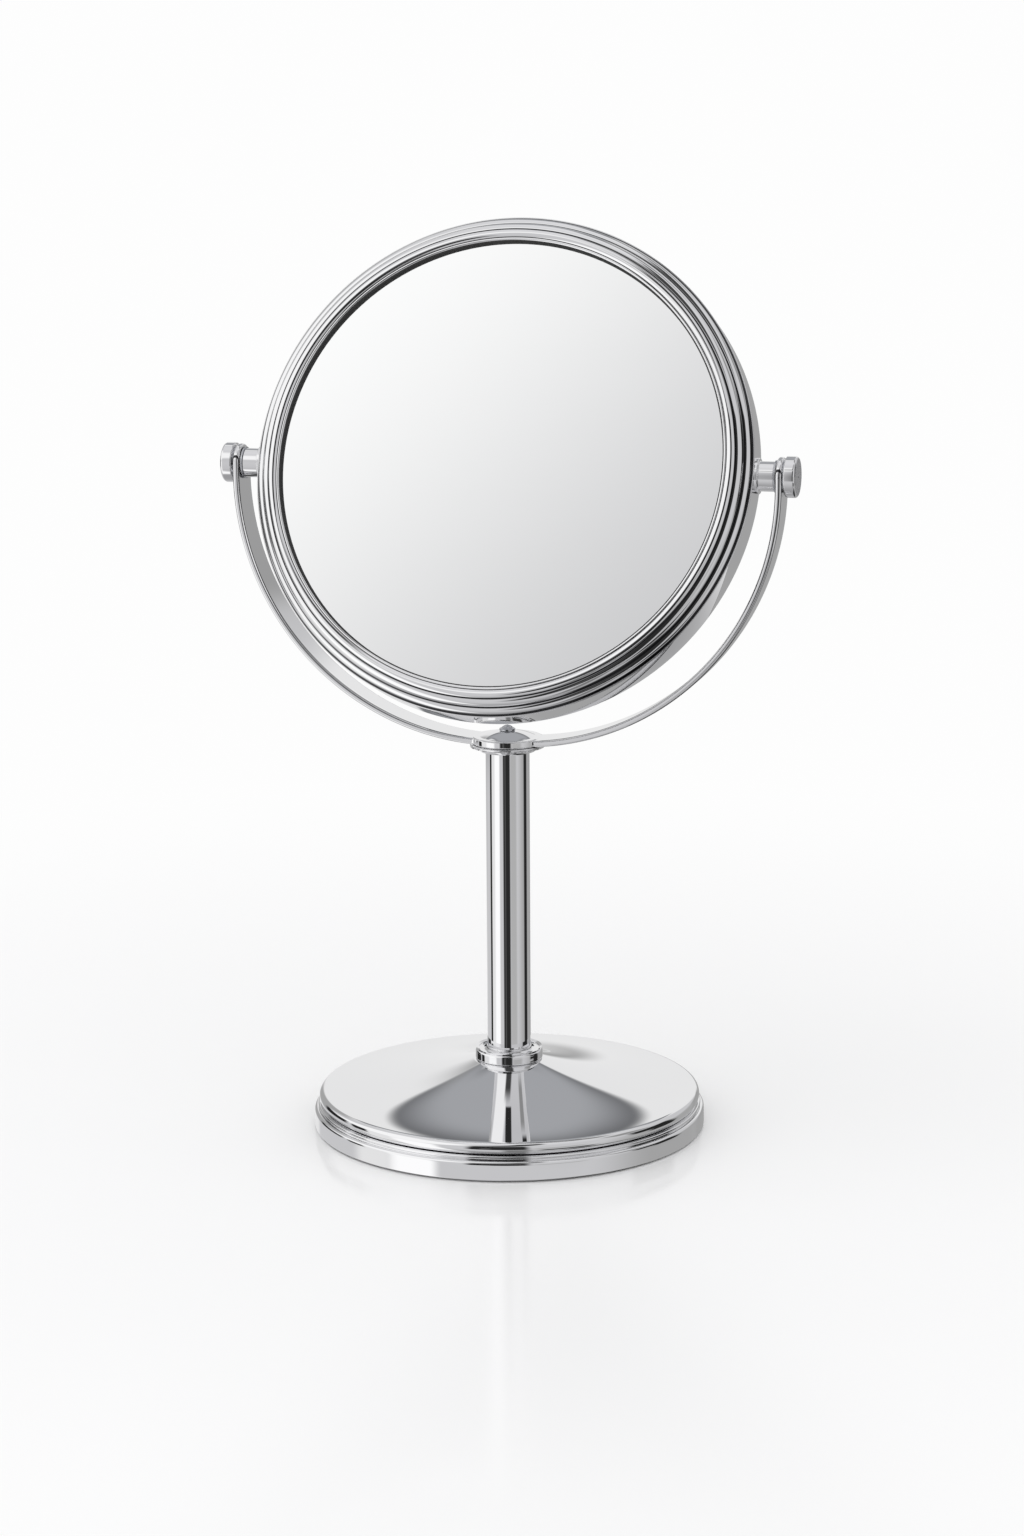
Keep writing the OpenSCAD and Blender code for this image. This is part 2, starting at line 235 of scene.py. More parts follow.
@dataclass(frozen=True)
class Finish:
    """A surface finish: one Principled shader with mottled colour, gloss and relief."""

    name: str
    slot: Slot
    colour: Colour
    shade: Colour
    metallic: float = 0.0
    rough_low: float = 0.4
    rough_high: float = 0.6
    grain: float = 900.0
    relief: float = 0.00002
    strength: float = 0.3

    def surface(self, pen: NodePen, place: Socket) -> dict:
        """Works out the shader's inputs.

        Args:
            pen: The material's pen.
            place: Object coordinates in metres.

        Returns:
            Principled input name to value or socket.
        """
        broad = pen.noise(place, self.grain / 12, 3.0)
        fine = pen.noise(place, self.grain, 2.0, 0.6)
        bump = pen.add("ShaderNodeBump", {"Height": fine, "Strength": self.strength,
                                          "Distance": self.relief})
        return {
            "Base Color": pen.mix(broad, rgba(self.shade), rgba(self.colour)),
            "Roughness": pen.ramp(fine, 0.3, 0.7, self.rough_low, self.rough_high),
            "Metallic": self.metallic,
            "Normal": bump.outputs["Normal"],
        }

    def build(self) -> bpy.types.Material:
        """Makes the material, or returns it if it is made already."""
        made = bpy.data.materials.get(self.name)
        if made:
            return made
        material = bpy.data.materials.new(self.name)
        material.use_nodes = True
        tree = material.node_tree
        tree.nodes.clear()
        pen = NodePen(tree)
        place = pen.add("ShaderNodeTexCoord").outputs["Object"]
        shader = pen.add("ShaderNodeBsdfPrincipled", self.surface(pen, place))
        pen.add("ShaderNodeOutputMaterial", {"Surface": shader.outputs["BSDF"]})
        return material


@dataclass(frozen=True)
class Plating(Finish):
    """Bright chromium plate: faint polishing haze, dried water marks and a slow ripple."""

    metallic: float = 1.0
    rough_low: float = 0.006
    rough_high: float = 0.02
    ripple_scale: float = 38.0
    ripple: float = 0.00002

    def haze(self, pen: NodePen, place: Socket) -> Socket:
        """Roughness over the plate: fine haze, with slightly duller rings of dried water."""
        fine = pen.noise(place, 1400.0, 3.0, 0.6)
        broad = pen.noise(place, 55.0, 2.0)
        haze = pen.ramp(pen.math("MULTIPLY", fine, broad), 0.12, 0.42, self.rough_low, self.rough_high)
        drops = pen.add("ShaderNodeTexVoronoi", {"Vector": place, "Scale": 70.0, "Randomness": 1.0})
        ring = pen.math("ABSOLUTE", pen.math("SUBTRACT", drops.outputs["Distance"], 0.16))
        mark = pen.ramp(ring, 0.0, 0.03, 0.008, 0.0, smooth=True)
        return pen.math("ADD", haze, pen.math("MULTIPLY", mark, broad))

    def surface(self, pen: NodePen, place: Socket) -> dict:
        """Works out the shader's inputs, as Finish does."""
        ripple = pen.add("ShaderNodeBump", {"Height": pen.noise(place, self.ripple_scale, 1.0),
                                            "Strength": 1.0, "Distance": self.ripple})
        broad = pen.noise(place, 24.0, 2.0)
        return {
            "Base Color": pen.mix(broad, rgba(self.shade), rgba(self.colour)),
            "Roughness": self.haze(pen, place),
            "Metallic": self.metallic,
            "Normal": ripple.outputs["Normal"],
        }


@dataclass(frozen=True)
class GrooveShadedPlate(Plating):
    """Chromium plate with painted shade: a dark line along each groove, standing in for the shade and dark
    reflection in the groove.

    Each groove has its radius from the head's axis and its half width.
    """

    lean: float = 20.5
    pivot_z: float = 227.0
    grooves: tuple[tuple[float, float], ...] = ()

    def surface(self, pen: NodePen, place: Socket) -> dict:
        """Works out the shader's inputs, as Finish does."""
        plate = super().surface(pen, place)
        level = pen.add("ShaderNodeMapping", {
            "Vector": place, "Location": (0.0, 0.0, self.pivot_z * MM),
            "Rotation": (math.radians(90 - self.lean), 0.0, 0.0)}, vector_type="TEXTURE")
        parts = pen.parts(level.outputs["Vector"])
        radius = pen.reach(parts["X"], parts["Y"])
        # painted shade: a dark line at each groove's radius, standing in for its shade and dark reflection,
        # mixed into the base colour
        painted_shade: Value = 0.0
        for centre, half in self.grooves:
            line = pen.stripe(radius, centre, 0.6 * half, 1.2 * half)
            painted_shade = pen.math("MAXIMUM", painted_shade, line)
        plate["Base Color"] = pen.mix(painted_shade, plate["Base Color"], (0.035, 0.035, 0.038, 1.0))
        return plate


@dataclass(frozen=True)
class EdgeReflectionPlate(Plating):
    """Chromium plate on the strap, with a painted reflection: a dark line where its faces meet its rolled
    edges, standing in for the dark reflection there.
    """

    # where the painted reflection line lies across the strap, and its half width
    line_y: float = 5.9
    half_line: float = 0.2
    start_x: float = 12.4

    def surface(self, pen: NodePen, place: Socket) -> dict:
        """Works out the shader's inputs, as Finish does."""
        plate = super().surface(pen, place)
        parts = pen.parts(place)
        across = pen.math("ABSOLUTE", parts["Y"])
        # painted reflection: a dark line along both rolled edges of the strap, kept off the pad, mixed into
        # the base colour
        line = pen.stripe(across, self.line_y, 0.7 * self.half_line, 1.3 * self.half_line)
        clear = pen.ramp(pen.math("ABSOLUTE", parts["X"]), self.start_x * MM,
                         (self.start_x + 1.5) * MM, 0.0, 1.0)
        painted_shade = pen.math("MULTIPLY", line, clear)
        plate["Base Color"] = pen.mix(painted_shade, plate["Base Color"], (0.04, 0.04, 0.043, 1.0))
        return plate


@dataclass(frozen=True)
class TurnedEnd(Plating):
    """Chromium plate with a satin end face that shows the lathe's rings."""

    face_x: float = 98.0
    pivot_z: float = 227.0
    ring_pitch: float = 0.11

    def surface(self, pen: NodePen, place: Socket) -> dict:
        """Works out the shader's inputs, as Finish does."""
        plate = super().surface(pen, place)
        parts = pen.parts(place)
        out = pen.math("ABSOLUTE", parts["X"])
        face = pen.ramp(out, (self.face_x - 0.12) * MM, (self.face_x - 0.02) * MM, 0.0, 1.0)
        rise = pen.math("SUBTRACT", parts["Z"], self.pivot_z * MM)
        radius = pen.reach(parts["Y"], rise)
        turns = pen.math("SINE", pen.math("MULTIPLY", radius, math.tau / (self.ring_pitch * MM)))
        rings = pen.add("ShaderNodeBump", {"Height": pen.math("MULTIPLY", turns, face),
                                           "Strength": 0.35, "Distance": 0.000012,
                                           "Normal": plate["Normal"]})
        satin = pen.math("MULTIPLY", face, pen.ramp(pen.noise(place, 2600.0), 0.3, 0.7, 0.2, 0.28))
        plate["Roughness"] = pen.math("ADD", plate["Roughness"], satin)
        plate["Base Color"] = pen.mix(face, plate["Base Color"], (0.60, 0.60, 0.62, 1.0))
        plate["Normal"] = rings.outputs["Normal"]
        return plate


@dataclass(frozen=True)
class Silvering(Finish):
    """Silvered float glass, wiped clean but for the faintest smears."""

    def surface(self, pen: NodePen, place: Socket) -> dict:
        """Works out the shader's inputs, as Finish does."""
        wipe = pen.add("ShaderNodeMapping", {"Vector": place, "Scale": (9.0, 30.0, 30.0)})
        smear = pen.noise(wipe.outputs["Vector"], 2.0, 4.0, 0.65)
        return {
            "Base Color": pen.mix(smear, rgba(self.shade), rgba(self.colour)),
            "Roughness": pen.ramp(smear, 0.45, 0.75, self.rough_low, self.rough_high),
            "Metallic": self.metallic,
        }


PLATE = (Slot.CHROME, (0.90, 0.90, 0.905), (0.875, 0.875, 0.885))
CHROME = Plating("chrome_plate", *PLATE)
SPUN_CHROME = Plating("spun_chrome_plate", *PLATE, ripple_scale=30.0, ripple=0.00004)
EDGE_REFLECTION_CHROME = EdgeReflectionPlate("edge_reflection_plate", *PLATE)
GLASS = Silvering("silvered_glass", Slot.MIRROR, (0.955, 0.957, 0.957), (0.945, 0.95, 0.948), metallic=1.0,
                  rough_low=0.0, rough_high=0.012)
STEEL = Finish("zinc_steel", Slot.STEEL, (0.66, 0.67, 0.69), (0.50, 0.51, 0.54), metallic=1.0,
               rough_low=0.14, rough_high=0.3, grain=1500.0, relief=0.00001)
IRON = Finish("cast_iron", Slot.IRON, (0.12, 0.12, 0.125), (0.05, 0.05, 0.055), metallic=0.6,
              rough_low=0.6, rough_high=0.85, grain=1200.0, relief=0.00025, strength=0.8)
BRASS = Finish("turned_brass", Slot.BRASS, (0.74, 0.56, 0.27), (0.60, 0.43, 0.18), metallic=1.0,
               rough_low=0.16, rough_high=0.32, grain=1600.0, relief=0.00001)
NYLON = Finish("natural_nylon", Slot.NYLON, (0.83, 0.81, 0.76), (0.76, 0.74, 0.69),
               rough_low=0.38, rough_high=0.5, grain=2200.0, relief=0.00001)
RUBBER = Finish("black_rubber", Slot.RUBBER, (0.030, 0.030, 0.031), (0.018, 0.018, 0.019),
                rough_low=0.62, rough_high=0.8, grain=2600.0, relief=0.00003, strength=0.5)
COVER = Finish("grained_cover", Slot.COVER, (0.045, 0.045, 0.047), (0.03, 0.03, 0.032),
               rough_low=0.45, rough_high=0.65, grain=1900.0, relief=0.00006, strength=0.7)
BOARD = Finish("pressed_board", Slot.BOARD, (0.44, 0.39, 0.32), (0.33, 0.29, 0.23),
               rough_low=0.8, rough_high=0.95, grain=1300.0, relief=0.00008, strength=0.6)
FOAM = Finish("closed_cell_foam", Slot.FOAM, (0.10, 0.10, 0.11), (0.05, 0.05, 0.056),
              rough_low=0.85, rough_high=1.0, grain=1700.0, relief=0.0002, strength=0.9)


# ---------------------------------------------------------------- outlines


@dataclass(frozen=True)
class Corner:
    """One corner of an outline, in radius and height, with the radius of its round."""

    r: float
    z: float
    round: float = 0.0


def arc(centre: Point, radius: float, start: float, end: float, steps: int) -> list[Point]:
    """Points along an arc.

    Args:
        centre: Its centre.
        radius: Its radius.
        start: First angle in degrees, from the outward direction.
        end: Last angle in degrees.
        steps: Number of straight steps.

    Returns:
        The points, both ends included.
    """
    points = []
    for step in range(steps + 1):
        angle = math.radians(start + (end - start) * step / steps)
        points.append((centre[0] + radius * math.cos(angle), centre[1] + radius * math.sin(angle)))
    return points


def rounded(corners: Sequence[Corner], steps: int = 6) -> list[Point]:
    """Turns a closed outline of corners into points, with each round as an arc.

    Args:
        corners: The corners in order.
        steps: Straight steps in each round.

    Returns:
        The outline's points.
    """
    points: list[Point] = []
    count = len(corners)
    for index, corner in enumerate(corners):
        here = Vector((corner.r, corner.z))
        if corner.round <= 0:
            points.append(tuple(here))
            continue
        before = Vector((corners[index - 1].r, corners[index - 1].z)) - here
        after = Vector((corners[(index + 1) % count].r, corners[(index + 1) % count].z)) - here
        half = before.angle(after) / 2
        reach = corner.round / math.tan(half)
        start = here + before.normalized() * reach
        end = here + after.normalized() * reach
        middle = (before.normalized() + after.normalized()).normalized()
        centre = here + middle * corner.round / math.sin(half)
        first = (start - centre).normalized()
        last = (end - centre).normalized()
        for step in range(steps + 1):
            way = first.slerp(last, step / steps)
            points.append(tuple(centre + way * corner.round))
    return points


def crossing(first: Round, second: Round) -> Point:
    """Where two circles cross, on the side away from the head's middle plane.

    Args:
        first: Radius, height and size of the first circle.
        second: The same for the second.

    Returns:
        The crossing with the greater height.
    """
    gap = Vector((second[0] - first[0], second[1] - first[1]))
    along = (gap.length_squared + first[2] ** 2 - second[2] ** 2) / (2 * gap.length)
    off = math.sqrt(max(0.0, first[2] ** 2 - along**2))
    way = gap.normalized()
    across = Vector((-way.y, way.x))
    spot = Vector((first[0], first[1])) + way * along + across * off
    return spot.x, spot.y


def bearing(centre: Sequence[float], point: Point) -> float:
    """Angle in degrees from a circle's centre to a point."""
    return math.degrees(math.atan2(point[1] - centre[1], point[0] - centre[0]))


# ---------------------------------------------------------------- meshes


def evaluated(piece: bpy.types.Object) -> bpy.types.Mesh:
    """The mesh that a piece's modifiers make, as a plain mesh of its own."""
    graph = bpy.context.evaluated_depsgraph_get()
    graph.update()
    return bpy.data.meshes.new_from_object(piece.evaluated_get(graph), depsgraph=graph)


def link(name: str, mesh: bpy.types.Mesh) -> bpy.types.Object:
    """Puts a mesh in the scene as an object at the origin."""
    piece = bpy.data.objects.new(name, mesh)
    bpy.context.scene.collection.objects.link(piece)
    return piece


def settle(name: str, mesh: bpy.types.Mesh, finish: Finish, crease: float = 33.0) -> bpy.types.Object:
    """Closes a mesh, points its faces outwards and gives it crisp, even shading.

    Args:
        name: The piece's name.
        mesh: Its raw mesh, in place.
        finish: Its finish.
        crease: Angle in degrees above which an edge stays sharp.

    Returns:
        The finished piece, at the origin and without modifiers.
    """
    work = bmesh.new()
    work.from_mesh(mesh)
    bmesh.ops.remove_doubles(work, verts=work.verts, dist=1e-7)
    bmesh.ops.dissolve_degenerate(work, edges=work.edges, dist=1e-8)
    bmesh.ops.recalc_face_normals(work, faces=work.faces)
    work.to_mesh(mesh)
    work.free()
    mesh.materials.clear()
    mesh.materials.append(finish.build())
    mesh.shade_smooth()
    mesh.set_sharp_from_angle(angle=math.radians(crease))
    draft = link(name + "_draft", mesh)
    even = draft.modifiers.new("even_shading", "WEIGHTED_NORMAL")
    even.keep_sharp = True
    even.weight = 100
    final = evaluated(draft)
    bpy.data.objects.remove(draft)
    final.name = name
    return link(name, final)


class PieceTree:
    """A Geometry Nodes tree with named inputs, which is run on an object to make a plain mesh."""

    def __init__(self, name: str, inputs: dict[str, str]) -> None:
        """Makes the tree with its inputs.

        Args:
            name: The tree's name.
            inputs: Each input's name and kind of socket, the geometry first.
        """
        self.tree = bpy.data.node_groups.new(name, "GeometryNodeTree")
        face = self.tree.interface
        self.ids = {}
        for label, kind in (inputs | {"Finish": "Material"}).items():
            socket = face.new_socket(name=label, in_out="INPUT", socket_type="NodeSocket" + kind)
            self.ids[label] = socket.identifier
        face.new_socket(name="Piece", in_out="OUTPUT", socket_type="NodeSocketGeometry")
        self.pen = NodePen(self.tree)
        self.given = self.pen.add("NodeGroupInput").outputs

    def close(self, geometry: Socket) -> None:
        """Ends the tree in Realize Instances and Set Material."""
        real = self.pen.add("GeometryNodeRealizeInstances", {"Geometry": geometry})
        dressed = self.pen.add("GeometryNodeSetMaterial", {"Geometry": real.outputs[0],
                                                           "Material": self.given["Finish"]})
        self.pen.add("NodeGroupOutput", {"Piece": dressed.outputs[0]})

    def run(self, blank: bpy.types.Object, values: dict) -> bpy.types.Mesh:
        """Runs the tree on an object, which is used up.

        Args:
            blank: The object whose mesh goes in.
            values: Input name to value.

        Returns:
            The result as a plain mesh.
        """
        nodes = blank.modifiers.new(self.tree.name, "NODES")
        nodes.node_group = self.tree
        for label, value in values.items():
            nodes[self.ids[label]] = value
        mesh = evaluated(blank)
        bpy.data.objects.remove(blank)
        return mesh


class Lathe(PieceTree):
    """Turns closed outlines round an axis."""

    def __init__(self) -> None:
        """Builds the tree."""
        super().__init__("turned_solid", {"Outline": "Geometry", "Outline Points": "Int",
                                          "Segments": "Int"})
        pen, given = self.pen, self.given
        points, segments = given["Outline Points"], given["Segments"]
        grid = pen.add("GeometryNodeMeshGrid", {
            "Size X": 1.0, "Size Y": 1.0, "Vertices X": pen.math("ADD", segments, 1),
            "Vertices Y": pen.math("ADD", points, 1)})
        place = pen.add("GeometryNodeInputPosition").outputs["Position"]
        parts = pen.parts(place)
        turn = pen.math("MULTIPLY", pen.math("ADD", parts["X"], 0.5), math.tau)
        row = pen.math("ROUND", pen.math("MULTIPLY", pen.math("ADD", parts["Y"], 0.5), points))
        index = pen.add("FunctionNodeFloatToInt", {0: pen.math("MODULO", row, points)},
                        rounding_mode="ROUND").outputs[0]
        outline = pen.add("GeometryNodeSampleIndex",
                          {"Geometry": given["Outline"], "Value": place, "Index": index},
                          data_type="FLOAT_VECTOR", domain="POINT").outputs[0]
        section = pen.parts(outline)
        spot = pen.add("ShaderNodeCombineXYZ", {
            "X": pen.math("MULTIPLY", section["X"], pen.math("COSINE", turn)),
            "Y": pen.math("MULTIPLY", section["X"], pen.math("SINE", turn)),
            "Z": section["Z"]}).outputs[0]
        bent = pen.add("GeometryNodeSetPosition", {"Geometry": grid.outputs["Mesh"], "Position": spot})
        closed = pen.add("GeometryNodeMergeByDistance", {"Geometry": bent.outputs[0], "Distance": 1e-7})
        self.close(closed.outputs[0])

    def turn(self, name: str, outline: Sequence[Point], finish: Finish,
             place: Matrix = Matrix.Identity(4), segments: int = 96) -> bpy.types.Object:
        """Turns one outline into a piece.

        Args:
            name: The piece's name.
            outline: Closed outline in radius and height, in millimetres.
            finish: The piece's finish.
            place: Where the turning axis lies, as a matrix in millimetres.
            segments: Steps round the circle.

        Returns:
            The piece, in place.
        """
        edges = [(i, (i + 1) % len(outline)) for i in range(len(outline))]
        raw = bpy.data.meshes.new(name + "_outline")
        raw.from_pydata([(r, 0.0, z) for r, z in outline], edges, [])
        mesh = self.run(link(name + "_blank", raw), {
            "Outline Points": len(outline), "Segments": segments, "Finish": finish.build()})
        mesh.transform(Matrix.Scale(MM, 4) @ place)
        return settle(name, mesh, finish)

    def fit(self, name: str, outline: Sequence[Point], finish: Finish, body: Body, node: str,
            place: Matrix = Matrix.Identity(4), segments: int = 96) -> None:
        """Turns one outline and hands it over in place of a CAD node.

        Args:
            name: The piece's name.
            outline: Closed outline in radius and height, in millimetres.
            finish: The piece's finish.
            body: The body it rides on.
            node: The node that it stands for.
            place: Where the turning axis lies, as a matrix in millimetres.
            segments: Steps round the circle.
        """
        hand_over(self.turn(name, outline, finish, place, segments), body, finish, node)


class Fastener(PieceTree):
    """Sets copies of a screw on a ring."""

    def __init__(self) -> None:
        """Builds the tree."""
        super().__init__("screw_ring", {"Screw": "Geometry", "Count": "Int", "Ring Radius": "Float",
                                        "First Angle": "Float"})
        pen, given = self.pen, self.given
        ring = pen.add("GeometryNodeMeshCircle", {"Vertices": given["Count"],
                                                  "Radius": given["Ring Radius"]})
        angle = pen.add("ShaderNodeCombineXYZ", {"Z": given["First Angle"]}).outputs[0]
        turned = pen.add("GeometryNodeTransform", {"Geometry": ring.outputs[0], "Rotation": angle})
        step = pen.math("DIVIDE", math.tau, given["Count"])
        index = pen.add("GeometryNodeInputIndex").outputs[0]
        own = pen.add("ShaderNodeCombineXYZ", {"Z": pen.math("MULTIPLY", index, step)}).outputs[0]
        set_out = pen.add("GeometryNodeInstanceOnPoints", {
            "Points": turned.outputs[0], "Instance": given["Screw"], "Rotation": own})
        self.close(set_out.outputs[0])

    def ring(self, name: str, screw: bpy.types.Object, count: int, radius: float,
             first: float, finish: Finish) -> bpy.types.Object:
        """Sets out the screws.

        Args:
            name: The piece's name.
            screw: One screw on the Z axis, in metres; it is used up.
            count: How many screws.
            radius: The ring's radius in millimetres.
            first: The first screw's angle in degrees.
            finish: The screws' finish.

        Returns:
            The screws as one piece.
        """
        mesh = self.run(screw, {"Count": count, "Ring Radius": radius * MM,
                                "First Angle": math.radians(first), "Finish": finish.build()})
        return settle(name, mesh, finish)


def carve(piece: bpy.types.Object, tool: bpy.types.Object, operation: str,
          finish: Finish) -> bpy.types.Object:
    """Joins a tool to a piece or cuts it away, and uses both up.

    Args:
        piece: The piece.
        tool: The other solid.
        operation: UNION or DIFFERENCE.
        finish: The result's finish.

    Returns:
        The resulting piece, under the first piece's name.
    """
    name = piece.name
    cut = piece.modifiers.new("carve", "BOOLEAN")
    cut.operation = operation
    cut.object = tool
    cut.solver = "EXACT"
    mesh = evaluated(piece)
    bpy.data.objects.remove(piece)
    bpy.data.objects.remove(tool)
    return settle(name, mesh, finish)


def hand_over(piece: bpy.types.Object, body: Body, finish: Finish, *nodes: str) -> bpy.types.Object:
    """Ties a piece to its body and the CAD nodes that it stands for."""
    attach(piece, body.value)
    if nodes:
        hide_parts(*nodes)
    LOG.info("%s rides on %s, %d faces", piece.name, body.value, len(piece.data.polygons))
    return piece


def dress(node: str, finish: Finish) -> None:
    """Gives a carried-over CAD node its finish."""
    mesh = frame["nodes"][node].data
    mesh.materials.clear()
    mesh.materials.append(finish.build())
    LOG.info("%s keeps its CAD mesh, finished in %s", node, finish.name)


def remade(node: str, body: Body, finish: Finish) -> bpy.types.Object:
    """Replaces a small CAD node by a closed, smoothly shaded copy of itself."""
    return hand_over(settle(node + "_smooth", frame["nodes"][node].data.copy(), finish),
                     body, finish, node)


@dataclass(frozen=True)
class Extent:
    """A CAD node's box in millimetres."""

    low: Vector
    high: Vector

    @classmethod
    def of(cls, node: str) -> "Extent":
        """Reads a node's box from the frame."""
        low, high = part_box(node)
        return cls(Vector(low) / MM, Vector(high) / MM)

    @property
    def radius(self) -> float:
        """Half of the widest way across X, for a node turned about Z."""
        return max(self.high.x, -self.low.x)

    @property
    def middle(self) -> Vector:
        """The box's middle."""
        return (self.low + self.high) / 2


def ring_outline(inner: float, outer: float, low: float, high: float, edge: float) -> list[Point]:
    """Outline of a ring between two radii and two heights, with its outside edges rounded."""
    return rounded([Corner(inner, low), Corner(outer, low, edge), Corner(outer, high, edge),
                    Corner(inner, high)])


# ---------------------------------------------------------------- the mirror's own parts


@dataclass
class Base:
    """The weighted foot: spun shell, collar, cover, screws and rubber ring."""

    lathe: Lathe
    fastener: Fastener
    sheet: float = 1.0
    shoulder: float = 1.2
    small_bead: Round = (-1.8, 8.0, 0.6)
    large_bead: Round = (-3.8, 10.75, 2.15)
    rim_slope: float = 2.5
    band_top: float = 7.1

    def __post_init__(self) -> None:
        """Reads the shell's size from the frame."""
        shell = Extent.of("base_shell")
        self.foot = max(shell.high.x, shell.high.y)
        self.low = shell.low.z
        self.top = shell.high.z
        collar = Extent.of("base_collar")
        self.collar = max(collar.high.x, collar.high.y)
        self.neck = self.collar - 0.2
        self.collar_top = Extent.of("column_foot").low.z
        self.tube = Extent.of("outer_tube").radius

    def flare(self, inset: float, steps: int) -> list[Point]:
        """The cone's hollow curve, from the large bead up to the neck.

        Args:
            inset: How far inside the outer face to draw it.
            steps: Straight steps along it.

        Returns:
            Its points, from the rim inwards.
        """
        start_r = self.foot + self.large_bead[0]
        start_z = self.large_bead[1] + self.large_bead[2]
        run, rise = start_r - self.neck, self.top - start_z
        slope = math.radians(self.rim_slope)
        radius = (run**2 + rise**2) / (2 * (rise * math.cos(slope) - run * math.sin(slope)))
        centre = (start_r + radius * math.sin(slope), start_z + radius * math.cos(slope))
        end = bearing(centre, (self.neck, self.top))
        return arc(centre, radius + inset, -90 - self.rim_slope, end, steps)

    def shell_outline(self) -> list[Point]:
        """The shell's closed outline: foot band, two beads, flare, neck, and back inside."""
        bead_s = (self.foot + self.small_bead[0], self.small_bead[1])
        bead_l = (self.foot + self.large_bead[0], self.large_bead[1])
        size_s, size_l = self.small_bead[2], self.large_bead[2]
        ledge = self.foot - self.shoulder
        bore = 3.2
        outside = [(self.foot - self.sheet, self.low)]
        outside += arc((self.foot - 0.3, self.low + 0.3), 0.3, -90, 0, 4)
        outside += arc((ledge, self.band_top - self.shoulder), self.shoulder, 0, 90, 12)
        outside += [(bead_s[0], self.band_top)]
        outside += arc(bead_s, size_s, -90, 90, 12)
        outside += arc(bead_l, size_l, -88, 90, 36)
        outside += self.flare(0.0, 56)[1:]
        outside += [(bore, self.top), (bore, self.top - self.sheet)]
        inside = [p for p in reversed(self.flare(self.sheet, 24))
                  if p[1] < self.top - self.sheet - 0.05 and p[0] < bead_l[0] - self.sheet - 0.5]
        wall = bead_l[0] - self.sheet
        inside += [(wall, inside[-1][1] - 0.1), (wall, self.band_top - self.sheet),
                   (self.foot - self.sheet, self.band_top - self.sheet)]
        return outside + inside

    def collar_outline(self) -> list[Point]:
        """The collar's closed outline, with its dished top."""
        dish_r = (self.tube + self.collar) / 2
        dish = arc((dish_r - 0.1, self.collar_top + 2.35), 2.5, -40, -140, 12)
        edge = rounded([Corner(3.2, self.top), Corner(self.collar, self.top, 0.7),
                        Corner(self.collar, self.collar_top + 0.3, 1.1),
                        Corner(dish[0][0], self.collar_top + 0.3)])
        return edge[:-1] + dish + [(self.tube + 0.7, self.collar_top), (3.2, self.collar_top)]

    def pad_outline(self) -> list[Point]:
        """The rubber ring's outline, with fine grip grooves turned in its underside."""
        pad = Extent.of("foot_pad")
        outer, inner = max(pad.high.x, pad.high.y), 46.0
        points: list[Point] = [(inner, 0.3)]
        grooves = 6
        pitch = (outer - inner) / (grooves + 1)
        for groove in range(grooves):
            centre = inner + pitch * (groove + 1)
            points += [(centre - 0.9, 0.0), (centre - 0.5, 0.45), (centre + 0.5, 0.45),
                       (centre + 0.9, 0.0)]
        points += arc((outer - 0.4, 0.4), 0.4, -90, 0, 4)
        return points + [(outer, pad.high.z), (inner, pad.high.z)]

    def screws(self) -> bpy.types.Object:
        """The three pan-head screws of the cover, with cross recesses."""
        box = Extent.of("cover_screws")
        head_top, ring, seat = box.low.z, 30.0, 1.6
        crown = arc((0.0, head_top + 3.6), 3.6, -90, -43, 10)
        outline = crown + [(2.8, seat), (1.5, seat), (1.5, box.high.z - 0.4),
                           (1.1, box.high.z), (0.0, box.high.z)]
        screw = self.lathe.turn("cover_screw", outline, STEEL, segments=40)
        for turn in (0.0, 90.0):
            blade = bpy.data.meshes.new("blade")
            work = bmesh.new()
            bmesh.ops.create_cube(work, size=1.0)
            work.to_mesh(blade)
            work.free()
            size = Matrix.Diagonal((3.0, 0.6, 1.6, 1.0))
            blade.transform(Matrix.Scale(MM, 4) @ Matrix.Translation((0, 0, head_top))
                            @ Matrix.Rotation(math.radians(turn), 4, "Z") @ size)
            screw = carve(screw, link("blade", blade), "DIFFERENCE", STEEL)
        return self.fastener.ring("cover_screw_set", screw, 3, ring, 30.0, STEEL)

    def build(self) -> None:
        """Makes and hands over every piece of the base."""
        fit = self.lathe.fit
        fit("spun_shell", self.shell_outline(), SPUN_CHROME, Body.BASE, "base_shell", segments=288)
        fit("dished_collar", self.collar_outline(), CHROME, Body.BASE, "base_collar", segments=160)
        cover = Extent.of("base_cover")
        plate = ring_outline(8.5, max(cover.high.x, cover.high.y), cover.low.z, cover.high.z, 0.3)
        fit("underside_cover", plate, COVER, Body.BASE, "base_cover", segments=192)
        fit("grip_ring", self.pad_outline(), RUBBER, Body.BASE, "foot_pad", segments=192)
        hand_over(self.screws(), Body.BASE, STEEL, "cover_screws")
        dress("base_weight", IRON)
        remade("tie_bolt", Body.BASE, STEEL)
        remade("tie_washer", Body.BASE, STEEL)


